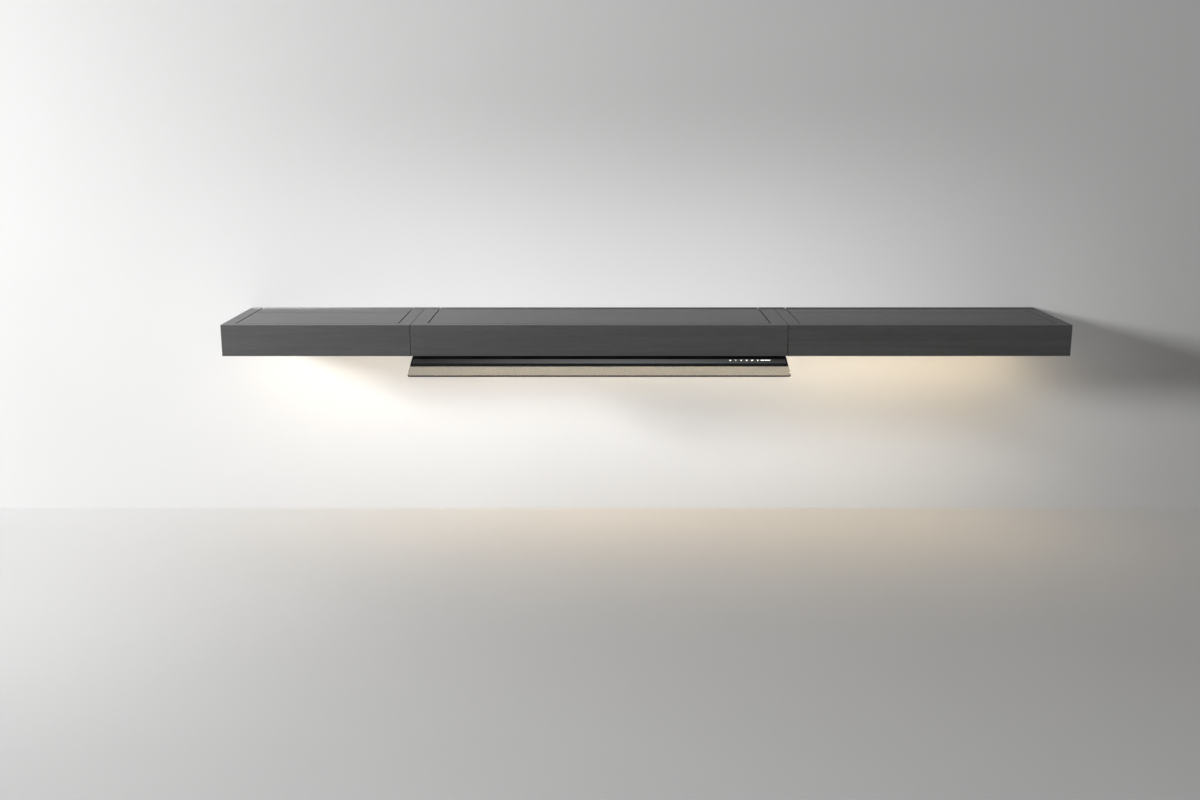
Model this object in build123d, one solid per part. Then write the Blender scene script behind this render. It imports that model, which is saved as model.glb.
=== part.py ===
from build123d import *
import os
from math import cos, radians, sin, tan

# Shelf range hood: a hood module between two side shelves, all behind one fascia line.
# X runs to the right, Y into the wall and Z up. The origin lies on the wall plane, at mid
# thickness, on the hood module's centre line: the centre of its wall fixing pattern.
# The visor is modelled pulled out. Lengths are in millimetres and angles in degrees.

# The whole shelf
shelf_depth = 380.0
shelf_thickness = 100.0
hood_width = 1200.0
left_width = 600.0
right_width = 900.0
seam_gap = 1.0

# Boards of the cases
fascia_board = 22.0
end_board = 18.0
base_board = 12.0
panel_board = 10.0
ledge_board = 8.0
ledge_width = 8.0
groove = 3.5
front_border = 35.0
shelf_border = 39.0
hood_border = 50.0
service_depth = 113.0
arris = 0.8
lift_gap = 0.3
notch_radius = 4.5
notch_spacing = 580.0
cable_hole_radius = 11.0
face_tolerance = 0.1

# Battens and wall brackets of the side shelves
batten_board = 30.0
batten_step = 115.0
rod_radius = 9.0
rod_clearance = 0.3
rod_margin = 60.0
rod_longest_span = 300.0
bracket_plate = 5.0
bracket_height = 56.0
bracket_margin = 110.0
bracket_hole_radius = 4.2
bracket_hole_margin = 25.0
bracket_hole_rise = 18.0

# Lights under the shelves
hood_light_setback = 30.0
shelf_light_setback = 140.0
light_width = 17.0
light_height = 8.0
light_wall = 1.2
light_fit = 0.2
light_margin = 30.0
diffuser_thickness = 1.5
diffuser_recess = 0.3
tape_width = 10.0
tape_thickness = 0.4

# Sheet steel of the hood
sheet = 1.2
sheet_fit = 0.2
wall_space = 12.0
chamber_depth = 200.0
sheet_flange = 20.0
belly_flange = 14.0
ceiling_flange = 8.0
bolt_radius = 3.0
bolt_clearance = 0.3
bolt_head_radius = 5.0
bolt_head = 4.0
nut_thickness = 5.0
bolt_front_setback = 35.0
bolt_rear_depth = 38.0
bolt_rear_rise = 25.0
bolt_edge_gap = 2.0

# Wall rails, hooks and levelling screws
rail_gauge = 3.0
rail_height = 55.0
rail_duct_gap = 21.0
rail_setback = 120.0
rail_drop = 35.0
rail_hole_radius = 4.5
rail_hole_margin = 50.0
rail_hole_rise = 14.0
rail_joggle = 6.0
cleat_height = 10.0
hook_width = 60.0
hook_fit = 0.15
hook_seat_gap = 0.3
hook_leg = 9.0
hook_tail = 32.0
leveller_drop = 25.0

# Visor, guides and carriage. Along the slope and square to it, from the line where the top
# of the control panel crosses the front plane of the shelf.
visor_slope = 16.0
visor_travel = 110.0
visor_clearance = 2.5
visor_side_gap = 0.8
glass_show = 64.0
glass_seat = 18.0
glass_thickness = 5.0
glass_corner = 7.0
glass_arris = 0.6
panel_thickness = 2.5
panel_bevel = 0.8
bar_depth = 70.0
bar_height = 12.0
bar_wall = 1.5
bar_inset = 10.0
end_cap = 2.0
board_length = 165.0
board_width = 24.0
board_thickness = 1.6
board_margin = 37.0
carriage_depth = 46.0
carriage_lip = 9.0
carriage_inset = 17.0
window_length = 120.0
window_width = 22.0
window_pitch = 160.0
guide_gap = 1.5
guide_gauge = 1.5
guide_inside = 18.0
guide_width = 12.0
shoe_length = 36.0
shoe_clearance = 0.3
stop_length = 3.0
stop_gap = 0.3

# Grease filters
filter_count = 3
filter_margin = 30.0
filter_web = 30.0
filter_depth = 148.0
filter_height = 10.0
filter_gap = 1.0
filter_swing_gap = 3.0
filter_setback = 2.5
filter_rim = 9.0
filter_rim_wall = 1.0
baffle_width = 13.0
baffle_pitch = 18.0
baffle_height = 4.0
baffle_gauge = 0.8
pull_length = 90.0
pull_radius = 3.5
pull_setback = 4.5
hinge_radius = 2.5
hinge_clearance = 0.05
hinge_reach = 6.0
hinge_setback = 7.0
hinge_rise = 6.0
lug_gauge = 2.0
lug_width = 10.0
lug_height = 11.0
lug_corner = 3.0
magnet_length = 20.0
magnet_depth = 8.0
magnet_height = 9.0
magnet_inset = 60.0
magnet_gap = 0.3

# Fan
fan_x = -200.0
fan_height = 52.0
volute_wall = 2.0
volute_radius = 66.0
volute_growth = 9.0
volute_quarters = 3
tongue_angle = -45.0
inlet_radius = 48.0
inlet_wall = 1.8
inlet_flare = 7.0
inlet_first_step = 2.0
wheel_radius = 61.0
blade_depth = 12.0
blade_count = 36
blade_thickness = 1.0
blade_lean = 4.5
blade_bow = 1.1
blade_tip_gap = 1.0
blade_flats = 3
wheel_floor_gap = 4.0
wheel_top_gap = 2.0
wheel_ring = 2.0
wheel_ring_width = 9.0
cup_gap = 2.0
cup_wall = 2.0
hub_radius = 9.0
hub_length = 8.0
motor_radius = 34.0
motor_height = 30.0
motor_flange_radius = 45.0
motor_flange = 3.0
motor_hole_radius = 17.0
motor_rib_count = 10
motor_rib_width = 4.0
motor_rib_depth = 2.0
motor_rib_setback = 3.0
shaft_radius = 4.0
shaft_clearance = 0.05
shaft_in_motor = 24.0
shaft_end_gap = 0.3
bush_radius = 7.0
bush_height = 4.0
bush_place = 56.0
fan_plate_width = 170.0
fan_plate_gauge = 1.5
fan_plate_overhang = 8.0
fan_plate_leg = 14.0

# Air outlet and damper
duct_width = 218.0
duct_height = 52.0
duct_wall = 2.0
duct_fit = 0.2
collar_depth = 70.0
collar_lap = 10.0
collar_flange = 5.0
box_clearance = 3.0
pin_radius = 1.5
pin_clearance = 0.05
flap_gauge = 1.5
flap_gap = 1.8
flap_setback = 62.0
flap_pin_drop = 6.0
knuckle_radius = 3.2
knuckle_length = 20.0

# Electrical boxes and the mains gland
power_box_length = 220.0
power_box_width = 96.0
power_box_height = 27.0
power_box_setback = 290.0
driver_length = 150.0
driver_width = 60.0
driver_height = 22.0
driver_gap = 45.0
box_rim = 2.0
box_rim_drop = 4.0
box_corner = 4.0
box_rise = 46.0
gland_setback = 80.0
gland_z = 5.0
gland_bore = 5.0
gland_body = 8.0
gland_flange = 13.0
gland_length = 8.0

# A cut runs past the solid that it opens by this much
past = 1.0

# Levels and places that follow
top = shelf_thickness / 2
bottom = -shelf_thickness / 2
front = -shelf_depth
back = -wall_space
fascia_back = front + fascia_board
pocket_wall = -chamber_depth
ledge_top = top - panel_board
frame_bottom = ledge_top - ledge_board
seam_left = -hood_width / 2
seam_right = hood_width / 2
hood_half = hood_width / 2 - seam_gap
hood_span = (-hood_half, hood_half)
left_span = (seam_left - left_width, seam_left)
right_span = (seam_right, seam_right + right_width)
cheek_inside = hood_half - sheet
tray_half = cheek_inside - sheet_fit
chamber_middle = -(chamber_depth + wall_space) / 2

slope_cos = cos(radians(visor_slope))
slope_sin = sin(radians(visor_slope))
slope_tan = tan(radians(visor_slope))
visor_drop = visor_clearance / slope_cos + fascia_board * slope_tan
slope = Plane(
    origin=(0, front, bottom - visor_drop),
    x_dir=(1, 0, 0),
    z_dir=(0, -slope_sin, slope_cos),
)
visor_half = cheek_inside - visor_side_gap
glass_front = -visor_travel
bar_front = glass_front + glass_show
bar_back = bar_front + bar_depth
guide_bottom = guide_gap
guide_top = guide_bottom + guide_inside + 2 * guide_gauge
guide_front = (fascia_board + stop_gap + guide_top * slope_sin) / slope_cos
shoe_front = guide_front + stop_length + stop_gap
shoe_back = shoe_front + shoe_length
guide_back = shoe_back + visor_travel + stop_gap + stop_length
carriage_half = visor_half - carriage_inset
carriage_back = max(bar_back + carriage_depth, shoe_back)
ceiling = guide_top + sheet_fit

rail_inner = duct_width / 2 + rail_duct_gap
rail_outer = hood_width / 2 - rail_setback
hook_place = (rail_inner + rail_outer) / 2
gland_x = hood_width / 2 - gland_setback
power_box_x = hood_width / 2 - power_box_setback
driver_x = power_box_x - (power_box_length + driver_length) / 2 - driver_gap

filter_span = hood_width - 2 * filter_margin + filter_web
filter_pitch = filter_span / filter_count
filter_width = filter_pitch - filter_web
filter_places = [filter_pitch * (i - (filter_count - 1) / 2) for i in range(filter_count)]
magnet_place = filter_width / 2 - magnet_inset
filter_front = pocket_wall + filter_setback
filter_back = filter_front + filter_depth
filter_top = bottom + filter_height
hinge_y = filter_back - hinge_setback
hinge_z = bottom + hinge_rise

fan_y = chamber_middle + volute_growth
fan_top = fan_height / 2
fan_bottom = -fan_height / 2
wheel_top = fan_top - volute_wall - motor_flange - wheel_top_gap
wheel_bottom = fan_bottom + volute_wall + wheel_floor_gap
cup_inside = motor_radius + cup_gap
motor_bottom = fan_top - volute_wall - motor_height
cup_floor = motor_bottom - cup_gap
fan_plate_bottom = fan_top + bush_height
box_half = duct_width / 2 + duct_fit + duct_wall
box_rise_half = duct_height / 2 + duct_fit + duct_wall


def block(x, y, z):
    """Box between the low and high value of each axis."""
    middle = Pos((x[0] + x[1]) / 2, (y[0] + y[1]) / 2, (z[0] + z[1]) / 2)
    return middle * Box(x[1] - x[0], y[1] - y[0], z[1] - z[0])


def both_ways(low, high):
    """The span and its mirror image, left one first."""
    return [(-high, -low), (low, high)]


def rod_along(axis, start, length, radius):
    """Cylinder from a start point along one row axis."""
    turn = {"X": Rot(0, 90, 0), "Y": Rot(-90, 0, 0), "Z": Rot(0, 0, 0)}[axis]
    base = (Align.CENTER, Align.CENTER, Align.MIN)
    return Pos(*start) * turn * Cylinder(radius, length, align=base)


def folded_sheet(points, gauge, x, side, plane=Plane.YZ):
    """Sheet bent along a line of points, thickened to one side and drawn out along X."""
    outline = offset(Polyline(*points), gauge, side=side, kind=Kind.INTERSECTION)
    profile = make_face(plane * outline)
    return Pos(x[0], 0, 0) * extrude(profile, x[1] - x[0], dir=(1, 0, 0))


def slope_profile():
    """Plane whose axes are along the visor's slope and square to it."""
    return Plane(origin=slope.origin, x_dir=slope.y_dir, z_dir=(1, 0, 0))


def on_slope(x, along, square):
    """Box in the slope's own directions."""
    return slope * block(x, along, square)


def slope_height(y, square):
    """Height, at a depth y, of the plane that lies this far above the visor plane."""
    return bottom - visor_drop + (y - front) * slope_tan + square / slope_cos


def window(x, border):
    """Opening in the top that an inset panel fills, with the ledge left under its edge."""
    upper = block(
        (x[0] + border, x[1] - border),
        (front + front_border, past),
        (ledge_top, top + past),
    )
    lower = block(
        (x[0] + border + ledge_width, x[1] - border - ledge_width),
        (front + front_border + ledge_width, past),
        (frame_bottom - past, ledge_top + past),
    )
    return upper + lower


def light_groove(x):
    """Groove in a base board for the light channel."""
    reach = light_width / 2 + light_fit
    return block(
        light_span(x),
        (-shelf_light_setback - reach, -shelf_light_setback + reach),
        (bottom - past, bottom + light_height),
    )


def light_span(x):
    """Length of the light channel in a module."""
    return (x[0] + light_margin, x[1] - light_margin)


def eased(case):
    """The case with the sharp edges of its fascia broken."""
    face = case.edges().filter_by_position(Axis.Y, front - face_tolerance, front + face_tolerance)
    return chamfer(face, arris)


def shelf_case(x, seam_x):
    """Hollow case of a side shelf: fascia, two ends, base and top border, glued as one."""
    case = block(x, (front, 0), (bottom, top))
    case -= block(
        (x[0] + end_board, x[1] - end_board),
        (fascia_back, past),
        (bottom + base_board, frame_bottom),
    )
    case -= window(x, shelf_border)
    case -= light_groove(x)
    for hole in module_bolt_places():
        case -= rod_along("X", (seam_x - end_board - past, *hole), 2 * (end_board + past),
                          bolt_radius + bolt_clearance)
    case -= rod_along("X", (seam_x - end_board - past, *cable_place()), 2 * (end_board + past),
                      cable_hole_radius)
    return eased(case)


def hood_case():
    """Fascia and top border of the hood module, open below and behind."""
    case = block(hood_span, (front, 0), (bottom, top))
    case -= block(
        (hood_span[0] - past, hood_span[1] + past),
        (fascia_back, past),
        (bottom - past, frame_bottom),
    )
    case -= window(hood_span, hood_border)
    return eased(case)


def inset_panel(x, border, y, rest):
    """Panel that fills a window, a groove's width inside it."""
    panel = block((x[0] + border + groove, x[1] - border - groove), y, (ledge_top + rest, top))
    return chamfer(panel.faces().sort_by(Axis.Z)[-1].edges(), arris / 2)


def hood_lid():
    """Lift-off lid with a half-round lift notch near each end of its front edge."""
    lid_front = front + front_border + groove
    lid = inset_panel(hood_span, hood_border, (lid_front, -lift_gap), lift_gap)
    for x in (-notch_spacing / 2, notch_spacing / 2):
        lid -= rod_along("Z", (x, lid_front, ledge_top - past), panel_board + 2 * past, notch_radius)
    return lid


def rod_places(x):
    """Places of the bracket rods along a side shelf."""
    low = x[0] + bracket_margin + rod_margin
    high = x[1] - bracket_margin - rod_margin
    spans = max(1, round((high - low) / rod_longest_span))
    return [low + (high - low) * i / spans for i in range(spans + 1)]


def batten_lines():
    """Depths of the two battens, the rear one under the joint of panel and cover."""
    return (-service_depth, -service_depth - batten_step)


def battens(x):
    """Two battens that carry the panels and slide over the bracket rods."""
    group = []
    for y in batten_lines():
        deep = (y - batten_board / 2, y + batten_board / 2)
        between_ends = (x[0] + end_board, x[1] - end_board)
        between_ledges = (
            x[0] + shelf_border + ledge_width,
            x[1] - shelf_border - ledge_width,
        )
        batten = block(between_ends, deep, (bottom + base_board, frame_bottom))
        batten += block(between_ledges, deep, (frame_bottom, ledge_top))
        for rod_x in rod_places(x):
            batten -= rod_along("Y", (rod_x, deep[0] - past, 0), batten_board + 2 * past,
                                rod_radius + rod_clearance)
        group.append(batten)
    return group


def wall_bracket(x):
    """Wall plate with rods that reach through both battens."""
    plate_x = (x[0] + bracket_margin, x[1] - bracket_margin)
    bracket = block(plate_x, (-bracket_plate, 0), (-bracket_height / 2, bracket_height / 2))
    bracket = chamfer(bracket.edges().filter_by(Axis.Y), bracket_plate)
    length = service_depth + batten_step + batten_board / 2 - bracket_plate
    for rod_x in rod_places(x):
        bracket += rod_along("Y", (rod_x, -bracket_plate - length, 0), length, rod_radius)
    for hole_x in (plate_x[0] + bracket_hole_margin, plate_x[1] - bracket_hole_margin):
        for hole_z in (-bracket_hole_rise, bracket_hole_rise):
            bracket -= rod_along("Y", (hole_x, -bracket_plate - past, hole_z),
                                 bracket_plate + 2 * past, bracket_hole_radius)
    return bracket


def light_channel(x, setback):
    """Aluminium channel, open below, with a seat for the diffuser."""
    wide = light_width / 2
    body = block(light_span(x), (-setback - wide, -setback + wide),
                 (bottom, bottom + light_height))
    return body - block(
        (light_span(x)[0] - past, light_span(x)[1] + past),
        (-setback - wide + light_wall, -setback + wide - light_wall),
        (bottom - past, bottom + light_height - light_wall),
    )


def light_diffuser(x, setback):
    """Opal strip clipped between the channel's walls."""
    wide = light_width / 2 - light_wall - light_fit / 2
    low = bottom + diffuser_recess
    return block(light_span(x), (-setback - wide, -setback + wide), (low, low + diffuser_thickness))


def led_tape(x, setback):
    """Tape of light sources on the channel's ceiling."""
    ceiling_z = bottom + light_height - light_wall
    return block(
        light_span(x),
        (-setback - tape_width / 2, -setback + tape_width / 2),
        (ceiling_z - tape_thickness, ceiling_z),
    )


def module_bolt_places():
    """Depth and height of the bolts that join a side shelf to the hood's cheek."""
    high = frame_bottom - sheet - bolt_head_radius - bolt_edge_gap
    return [(fascia_back + bolt_front_setback, high), (-bolt_rear_depth, bottom + bolt_rear_rise)]


def cable_place():
    """Depth and height of the hole that the light cables take from module to module."""
    return (-service_depth / 2, frame_bottom - 2 * cable_hole_radius)


def hexagon_along(axis, start, length):
    """Hexagonal bolt head or nut from a start point along one row axis."""
    turn = {"X": Rot(0, 90, 0), "Y": Rot(-90, 0, 0)}[axis]
    return Pos(*start) * turn * extrude(RegularPolygon(bolt_head_radius, 6), length)


def module_bolts():
    """Bolts with their nuts, through a cheek, the seam and an end board, on both sides."""
    group = []
    shank = sheet + seam_gap + end_board + nut_thickness
    for side in (-1, 1):
        for y, z in module_bolt_places():
            bolt = hexagon_along("X", (cheek_inside - bolt_head, y, z), bolt_head)
            bolt += rod_along("X", (cheek_inside, y, z), shank, bolt_radius)
            bolt += hexagon_along("X", (seam_right + end_board, y, z), nut_thickness)
            group.append(bolt if side > 0 else mirror(bolt, Plane.YZ))
    return group


def cheek(side):
    """Steel end plate of the hood, with flanges to the top border, fascia and belly."""
    flange_inside = hood_half - sheet_flange
    plate = block((cheek_inside, hood_half), (fascia_back, 0), (bottom, frame_bottom))
    plate += block((flange_inside, cheek_inside), (fascia_back, 0),
                   (frame_bottom - sheet, frame_bottom))
    plate += block((flange_inside, cheek_inside), (fascia_back, fascia_back + sheet),
                   (ceiling_flange_top() + sheet_fit, frame_bottom - sheet))
    plate += block((flange_inside, cheek_inside), (pocket_wall + 2 * sheet, back - 2 * sheet),
                   (bottom + sheet, bottom + 2 * sheet))
    for y, z in module_bolt_places():
        plate -= rod_along("X", (cheek_inside - past, y, z), sheet + 2 * past,
                           bolt_radius + bolt_clearance)
    plate -= rod_along("X", (cheek_inside - past, *cable_place()), sheet + 2 * past,
                       cable_hole_radius)
    return plate if side > 0 else mirror(plate, Plane.YZ)


def ceiling_flange_top():
    """Top of the pocket ceiling's front flange, which is screwed to the fascia."""
    return slope_height(fascia_back, ceiling) + sheet_flange


def intake_tray():
    """Folded sheet: belly with the filter windows, and the upstand behind the visor pocket."""
    line = [
        (back, bottom + belly_flange),
        (back, bottom),
        (pocket_wall, bottom),
        (pocket_wall, slope_height(pocket_wall, ceiling)),
    ]
    tray = folded_sheet(line, sheet, (-tray_half, tray_half), Side.RIGHT)
    through = (bottom - past, bottom + sheet + past)
    for x in filter_places:
        half = filter_width / 2 + filter_gap
        tray -= block((x - half, x + half),
                      (filter_front - filter_gap, filter_back + filter_swing_gap), through)
        for lug in both_ways(half, half + lug_gauge):
            ear = block(
                (x + lug[0], x + lug[1]),
                (hinge_y - lug_width / 2, hinge_y + lug_width / 2),
                (bottom + sheet, bottom + sheet + lug_height),
            )
            ear = chamfer(ear.edges().filter_by(Axis.X).sort_by(Axis.Z)[-2:], lug_corner)
            tray += ear
        tray -= rod_along("X", (x - half - lug_gauge - past, hinge_y, hinge_z),
                          2 * (half + lug_gauge + past), hinge_radius + hinge_clearance)
    reach = light_width / 2 + light_fit
    slot_x = light_span(hood_span)
    tray -= block((slot_x[0] - light_fit, slot_x[1] + light_fit),
                  (-hood_light_setback - reach, -hood_light_setback + reach), through)
    return tray


def pocket_ceiling():
    """Sloped sheet over the visor pocket, from behind the upstand to the fascia."""
    rear = pocket_wall + sheet
    line = [
        (rear, slope_height(rear, ceiling) - ceiling_flange),
        (rear, slope_height(rear, ceiling)),
        (fascia_back, slope_height(fascia_back, ceiling)),
        (fascia_back, ceiling_flange_top()),
    ]
    return folded_sheet(line, sheet, (-tray_half, tray_half), Side.RIGHT)


def back_plate():
    """Rear sheet of the chassis, with the collar window and a top flange under the lid."""
    lid_half = hood_half - hood_border - ledge_width
    rear = (back, back + sheet)
    plate = block((-cheek_inside, cheek_inside), rear, (bottom, frame_bottom - sheet))
    plate += block((-lid_half, lid_half), rear, (frame_bottom - sheet, ledge_top))
    plate += block((-lid_half, lid_half), (back - sheet_flange, back), (ledge_top - sheet, ledge_top))
    half_width = duct_width / 2 + duct_fit
    half_height = duct_height / 2 + duct_fit
    plate -= block((-half_width, half_width), (back - past, back + sheet + past),
                   (-half_height, half_height))
    plate -= rod_along("Y", (gland_x, back - past, gland_z), sheet + 2 * past,
                       gland_body + sheet_fit)
    for x in (-hook_place, hook_place):
        plate -= rod_along("Y", (x, back - past, -leveller_drop), sheet + 2 * past,
                           bolt_radius + bolt_clearance)
    return plate


def front_angle():
    """Angle that ties the fascia to the top border."""
    half = hood_half - sheet_flange - sheet_fit
    line = [
        (fascia_back, frame_bottom - sheet_flange),
        (fascia_back, frame_bottom),
        (fascia_back + sheet_flange, frame_bottom),
    ]
    return folded_sheet(line, sheet, (-half, half), Side.RIGHT)


def cleat_top():
    """Top edge of the wall rails' cleat."""
    return rail_height - rail_drop + rail_joggle + cleat_height


def wall_rail(x):
    """Rail screwed to the wall, its top edge stepped forward into a cleat."""
    step = back + sheet + rail_gauge + hook_fit + rail_gauge
    bend_z = rail_height - rail_drop
    line = [(0, -rail_drop), (0, bend_z), (step, bend_z + rail_joggle), (step, cleat_top())]
    rail = folded_sheet(line, rail_gauge, x, Side.LEFT)
    for hole_x in (x[0] + rail_hole_margin, x[1] - rail_hole_margin):
        for hole_z in (-rail_hole_rise, rail_hole_rise):
            rail -= rod_along("Y", (hole_x, -rail_gauge - past, hole_z), rail_gauge + 2 * past,
                              rail_hole_radius)
    return rail


def hook_brackets():
    """Hooks on the back plate that hang over the cleats."""
    start = back + sheet
    outer = start + 3 * rail_gauge + 2 * hook_fit
    top_z = cleat_top() + hook_seat_gap + rail_gauge
    line = [
        (start, top_z - hook_tail),
        (start, top_z),
        (outer, top_z),
        (outer, top_z - hook_leg),
    ]
    return [
        folded_sheet(line, rail_gauge, (x - hook_width / 2, x + hook_width / 2), Side.RIGHT)
        for x in (-hook_place, hook_place)
    ]


def levelling_screws():
    """Screws through the back plate that bear on the wall rails."""
    group = []
    for x in (-hook_place, hook_place):
        screw = hexagon_along("Y", (x, back - bolt_head, -leveller_drop), bolt_head)
        screw += rod_along("Y", (x, back, -leveller_drop), -back - rail_gauge, bolt_radius)
        group.append(screw)
    return group


def visor_guide(side):
    """Channel on a cheek, parallel to the visor, in which the guide shoe runs."""
    inner = cheek_inside - guide_width
    guide = on_slope((inner, cheek_inside), (guide_front, guide_back), (guide_bottom, guide_top))
    guide -= on_slope(
        (inner - past, cheek_inside - guide_gauge),
        (guide_front - past, guide_back + past),
        (guide_bottom + guide_gauge, guide_top - guide_gauge),
    )
    return guide if side > 0 else mirror(guide, Plane.YZ)


def guide_stops():
    """Rubber stops at both ends of both guides."""
    group = []
    for x in both_ways(cheek_inside - guide_width, cheek_inside - guide_gauge):
        for s in (guide_front, guide_back - stop_length):
            group.append(on_slope(x, (s, s + stop_length),
                                  (guide_bottom + guide_gauge, guide_top - guide_gauge)))
    return group


def visor_glass():
    """Smoked glass with two rounded front corners and polished edges."""
    deep = glass_show + glass_seat
    pane = Rectangle(2 * visor_half, deep)
    pane = fillet(pane.vertices().sort_by(Axis.Y)[:2], glass_corner)
    glass = extrude(Pos(0, glass_front + deep / 2, 0) * pane, glass_thickness)
    glass = chamfer(glass.faces().filter_by(Axis.Z).edges(), glass_arris)
    return slope * Pos(0, 0, -panel_thickness - glass_thickness) * glass


def control_panel():
    """Thin black panel on top of the control bar, bevelled all round."""
    panel = block((-visor_half, visor_half), (bar_front, bar_back), (-panel_thickness, 0))
    panel = chamfer(panel.faces().sort_by(Axis.Z)[-1].edges(), panel_bevel)
    return slope * panel


def control_bar():
    """Folded bar under the panel, with the ledge that the glass is bonded to."""
    under_glass = -panel_thickness - glass_thickness
    line = [
        (bar_front + glass_seat + bar_wall, under_glass),
        (bar_front + bar_inset, under_glass),
        (bar_front + bar_inset, -bar_height),
        (bar_back, -bar_height),
        (bar_back, -panel_thickness),
    ]
    half = visor_half - end_cap
    return folded_sheet(line, bar_wall, (-half, half), Side.LEFT, slope_profile())


def bar_end_caps():
    """Caps that close the ends of the bar below the panel and behind the glass."""
    group = []
    for x in both_ways(visor_half - end_cap, visor_half):
        cap = on_slope(x, (bar_front + bar_inset, bar_back),
                       (-bar_height, -panel_thickness - glass_thickness))
        cap += on_slope(x, (bar_front + glass_seat, bar_back),
                        (-panel_thickness - glass_thickness, -panel_thickness))
        group.append(cap)
    return group


def touch_board():
    """Circuit board of the touch keys, bonded under the panel near its right end."""
    right = visor_half - board_margin
    middle = (bar_front + glass_seat + bar_back) / 2
    return on_slope(
        (right - board_length, right),
        (middle - board_width / 2, middle + board_width / 2),
        (-panel_thickness - board_thickness, -panel_thickness),
    )


def visor_carriage():
    """Folded channel behind the bar, with an ear at each end for the guide shoe."""
    lip = -bar_height + carriage_lip
    line = [
        (bar_back, lip),
        (bar_back, -bar_height),
        (carriage_back, -bar_height),
        (carriage_back, lip),
    ]
    carriage = folded_sheet(line, bar_wall, (-carriage_half, carriage_half), Side.LEFT,
                            slope_profile())
    for x in both_ways(carriage_half - bar_wall, carriage_half):
        carriage += on_slope(x, (shoe_front, carriage_back - bar_wall),
                             (-bar_height + bar_wall, shoe_top()))
    count = int(2 * carriage_half / window_pitch)
    middle = (bar_back + carriage_back) / 2
    for i in range(count):
        x = (i - (count - 1) / 2) * window_pitch
        carriage -= on_slope((x - window_length / 2, x + window_length / 2),
                             (middle - window_width / 2, middle + window_width / 2),
                             (-bar_height - past, -bar_height + bar_wall + past))
    return carriage


def shoe_top():
    """Upper face of the guide shoes."""
    return guide_top - guide_gauge - shoe_clearance


def guide_shoes():
    """Nylon shoes that carry the visor in its guides."""
    outer = cheek_inside - guide_gauge - shoe_clearance
    return [
        on_slope(x, (shoe_front, shoe_back), (guide_bottom + guide_gauge + shoe_clearance, shoe_top()))
        for x in both_ways(carriage_half, outer)
    ]


def baffle(x, y, low, opens_up):
    """One U-shaped baffle strip along X."""
    base = low if opens_up else low + baffle_height
    tip = low + baffle_height if opens_up else low
    line = [
        (y - baffle_width / 2, tip),
        (y - baffle_width / 2, base),
        (y + baffle_width / 2, base),
        (y + baffle_width / 2, tip),
    ]
    return folded_sheet(line, baffle_gauge, x, Side.LEFT if opens_up else Side.RIGHT)


def grease_filter(x):
    """Steel frame with two interleaved rows of baffles, a pull and rear hinge pins."""
    half = filter_width / 2
    frame = block((x - half, x + half), (filter_front, filter_back), (bottom, filter_top))
    frame -= block(
        (x - half + filter_rim, x + half - filter_rim),
        (filter_front + filter_rim, filter_back - filter_rim),
        (bottom - past, filter_top + past),
    )
    inside = (x - half + filter_rim, x + half - filter_rim)
    open_depth = filter_depth - 2 * filter_rim
    lower_count = int((open_depth + baffle_pitch - baffle_width) / baffle_pitch)
    middle = (filter_front + filter_back) / 2
    rows = [
        (lower_count, bottom + filter_rim_wall, True),
        (lower_count - 1, filter_top - filter_rim_wall - baffle_height, False),
    ]
    for count, low, opens_up in rows:
        for i in range(count):
            y = middle + (i - (count - 1) / 2) * baffle_pitch
            frame += baffle(inside, y, low, opens_up)
    pull = rod_along("X", (x - pull_length / 2, filter_front + pull_setback, bottom),
                     pull_length, pull_radius)
    frame += pull & block((x - pull_length, x + pull_length), (front, 0), (bottom - pull_radius, bottom))
    pin = half + hinge_reach
    frame += rod_along("X", (x - pin, hinge_y, hinge_z), hinge_reach, hinge_radius)
    frame += rod_along("X", (x + half, hinge_y, hinge_z), hinge_reach, hinge_radius)
    return frame


def filter_magnets():
    """Magnets on the pocket's upstand that hold the filters' front edges up."""
    group = []
    face = pocket_wall + sheet
    for x in filter_places:
        for place in (-magnet_place, magnet_place):
            group.append(block(
                (x + place - magnet_length / 2, x + place + magnet_length / 2),
                (face, face + magnet_depth),
                (filter_top + magnet_gap, filter_top + magnet_gap + magnet_height),
            ))
    return group


def volute_outline(outlet_x):
    """Air space of the volute in plan: four quarter arcs that grow, then a straight outlet."""
    e = volute_growth
    centre = Vector(fan_x + e / 2, fan_y + e / 2)
    radius = volute_radius
    tongue = centre + Vector(radius, 0).rotate(Axis.Z, tongue_angle)
    edges = [CenterArc(centre, radius, tongue_angle, -tongue_angle)]
    for quarter in range(volute_quarters):
        step = Vector(e, 0).rotate(Axis.Z, 90 * quarter)
        centre = centre - step
        radius += e
        edges.append(CenterArc(centre, radius, 90 * quarter, 90))
    end = centre - Vector(0, radius)
    corner = Vector(outlet_x, end.Y)
    rise = Vector(outlet_x, tongue.Y)
    edges += [Line(end, corner), Line(corner, rise), Line(rise, tongue)]
    return make_face(edges)


def outlet_plane():
    """X of the plane where the volute's outlet meets the outlet box."""
    return -box_half - sheet_fit


def volute_base():
    """Spiral housing, open at its top and outlet, with the inlet hole in its floor."""
    air = volute_outline(outlet_plane())
    shell = extrude(Pos(0, 0, fan_bottom) * offset(air, volute_wall), fan_height - volute_wall)
    shell -= extrude(Pos(0, 0, fan_bottom + volute_wall) * air, fan_height)
    shell -= rod_along("Z", (fan_x, fan_y, fan_bottom - past), volute_wall + 2 * past,
                       inlet_radius + inlet_wall + sheet_fit)
    shell -= block((outlet_plane(), outlet_plane() + 2 * volute_wall), (front, 0),
                   (fan_bottom - past, fan_top + past))
    return shell


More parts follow.
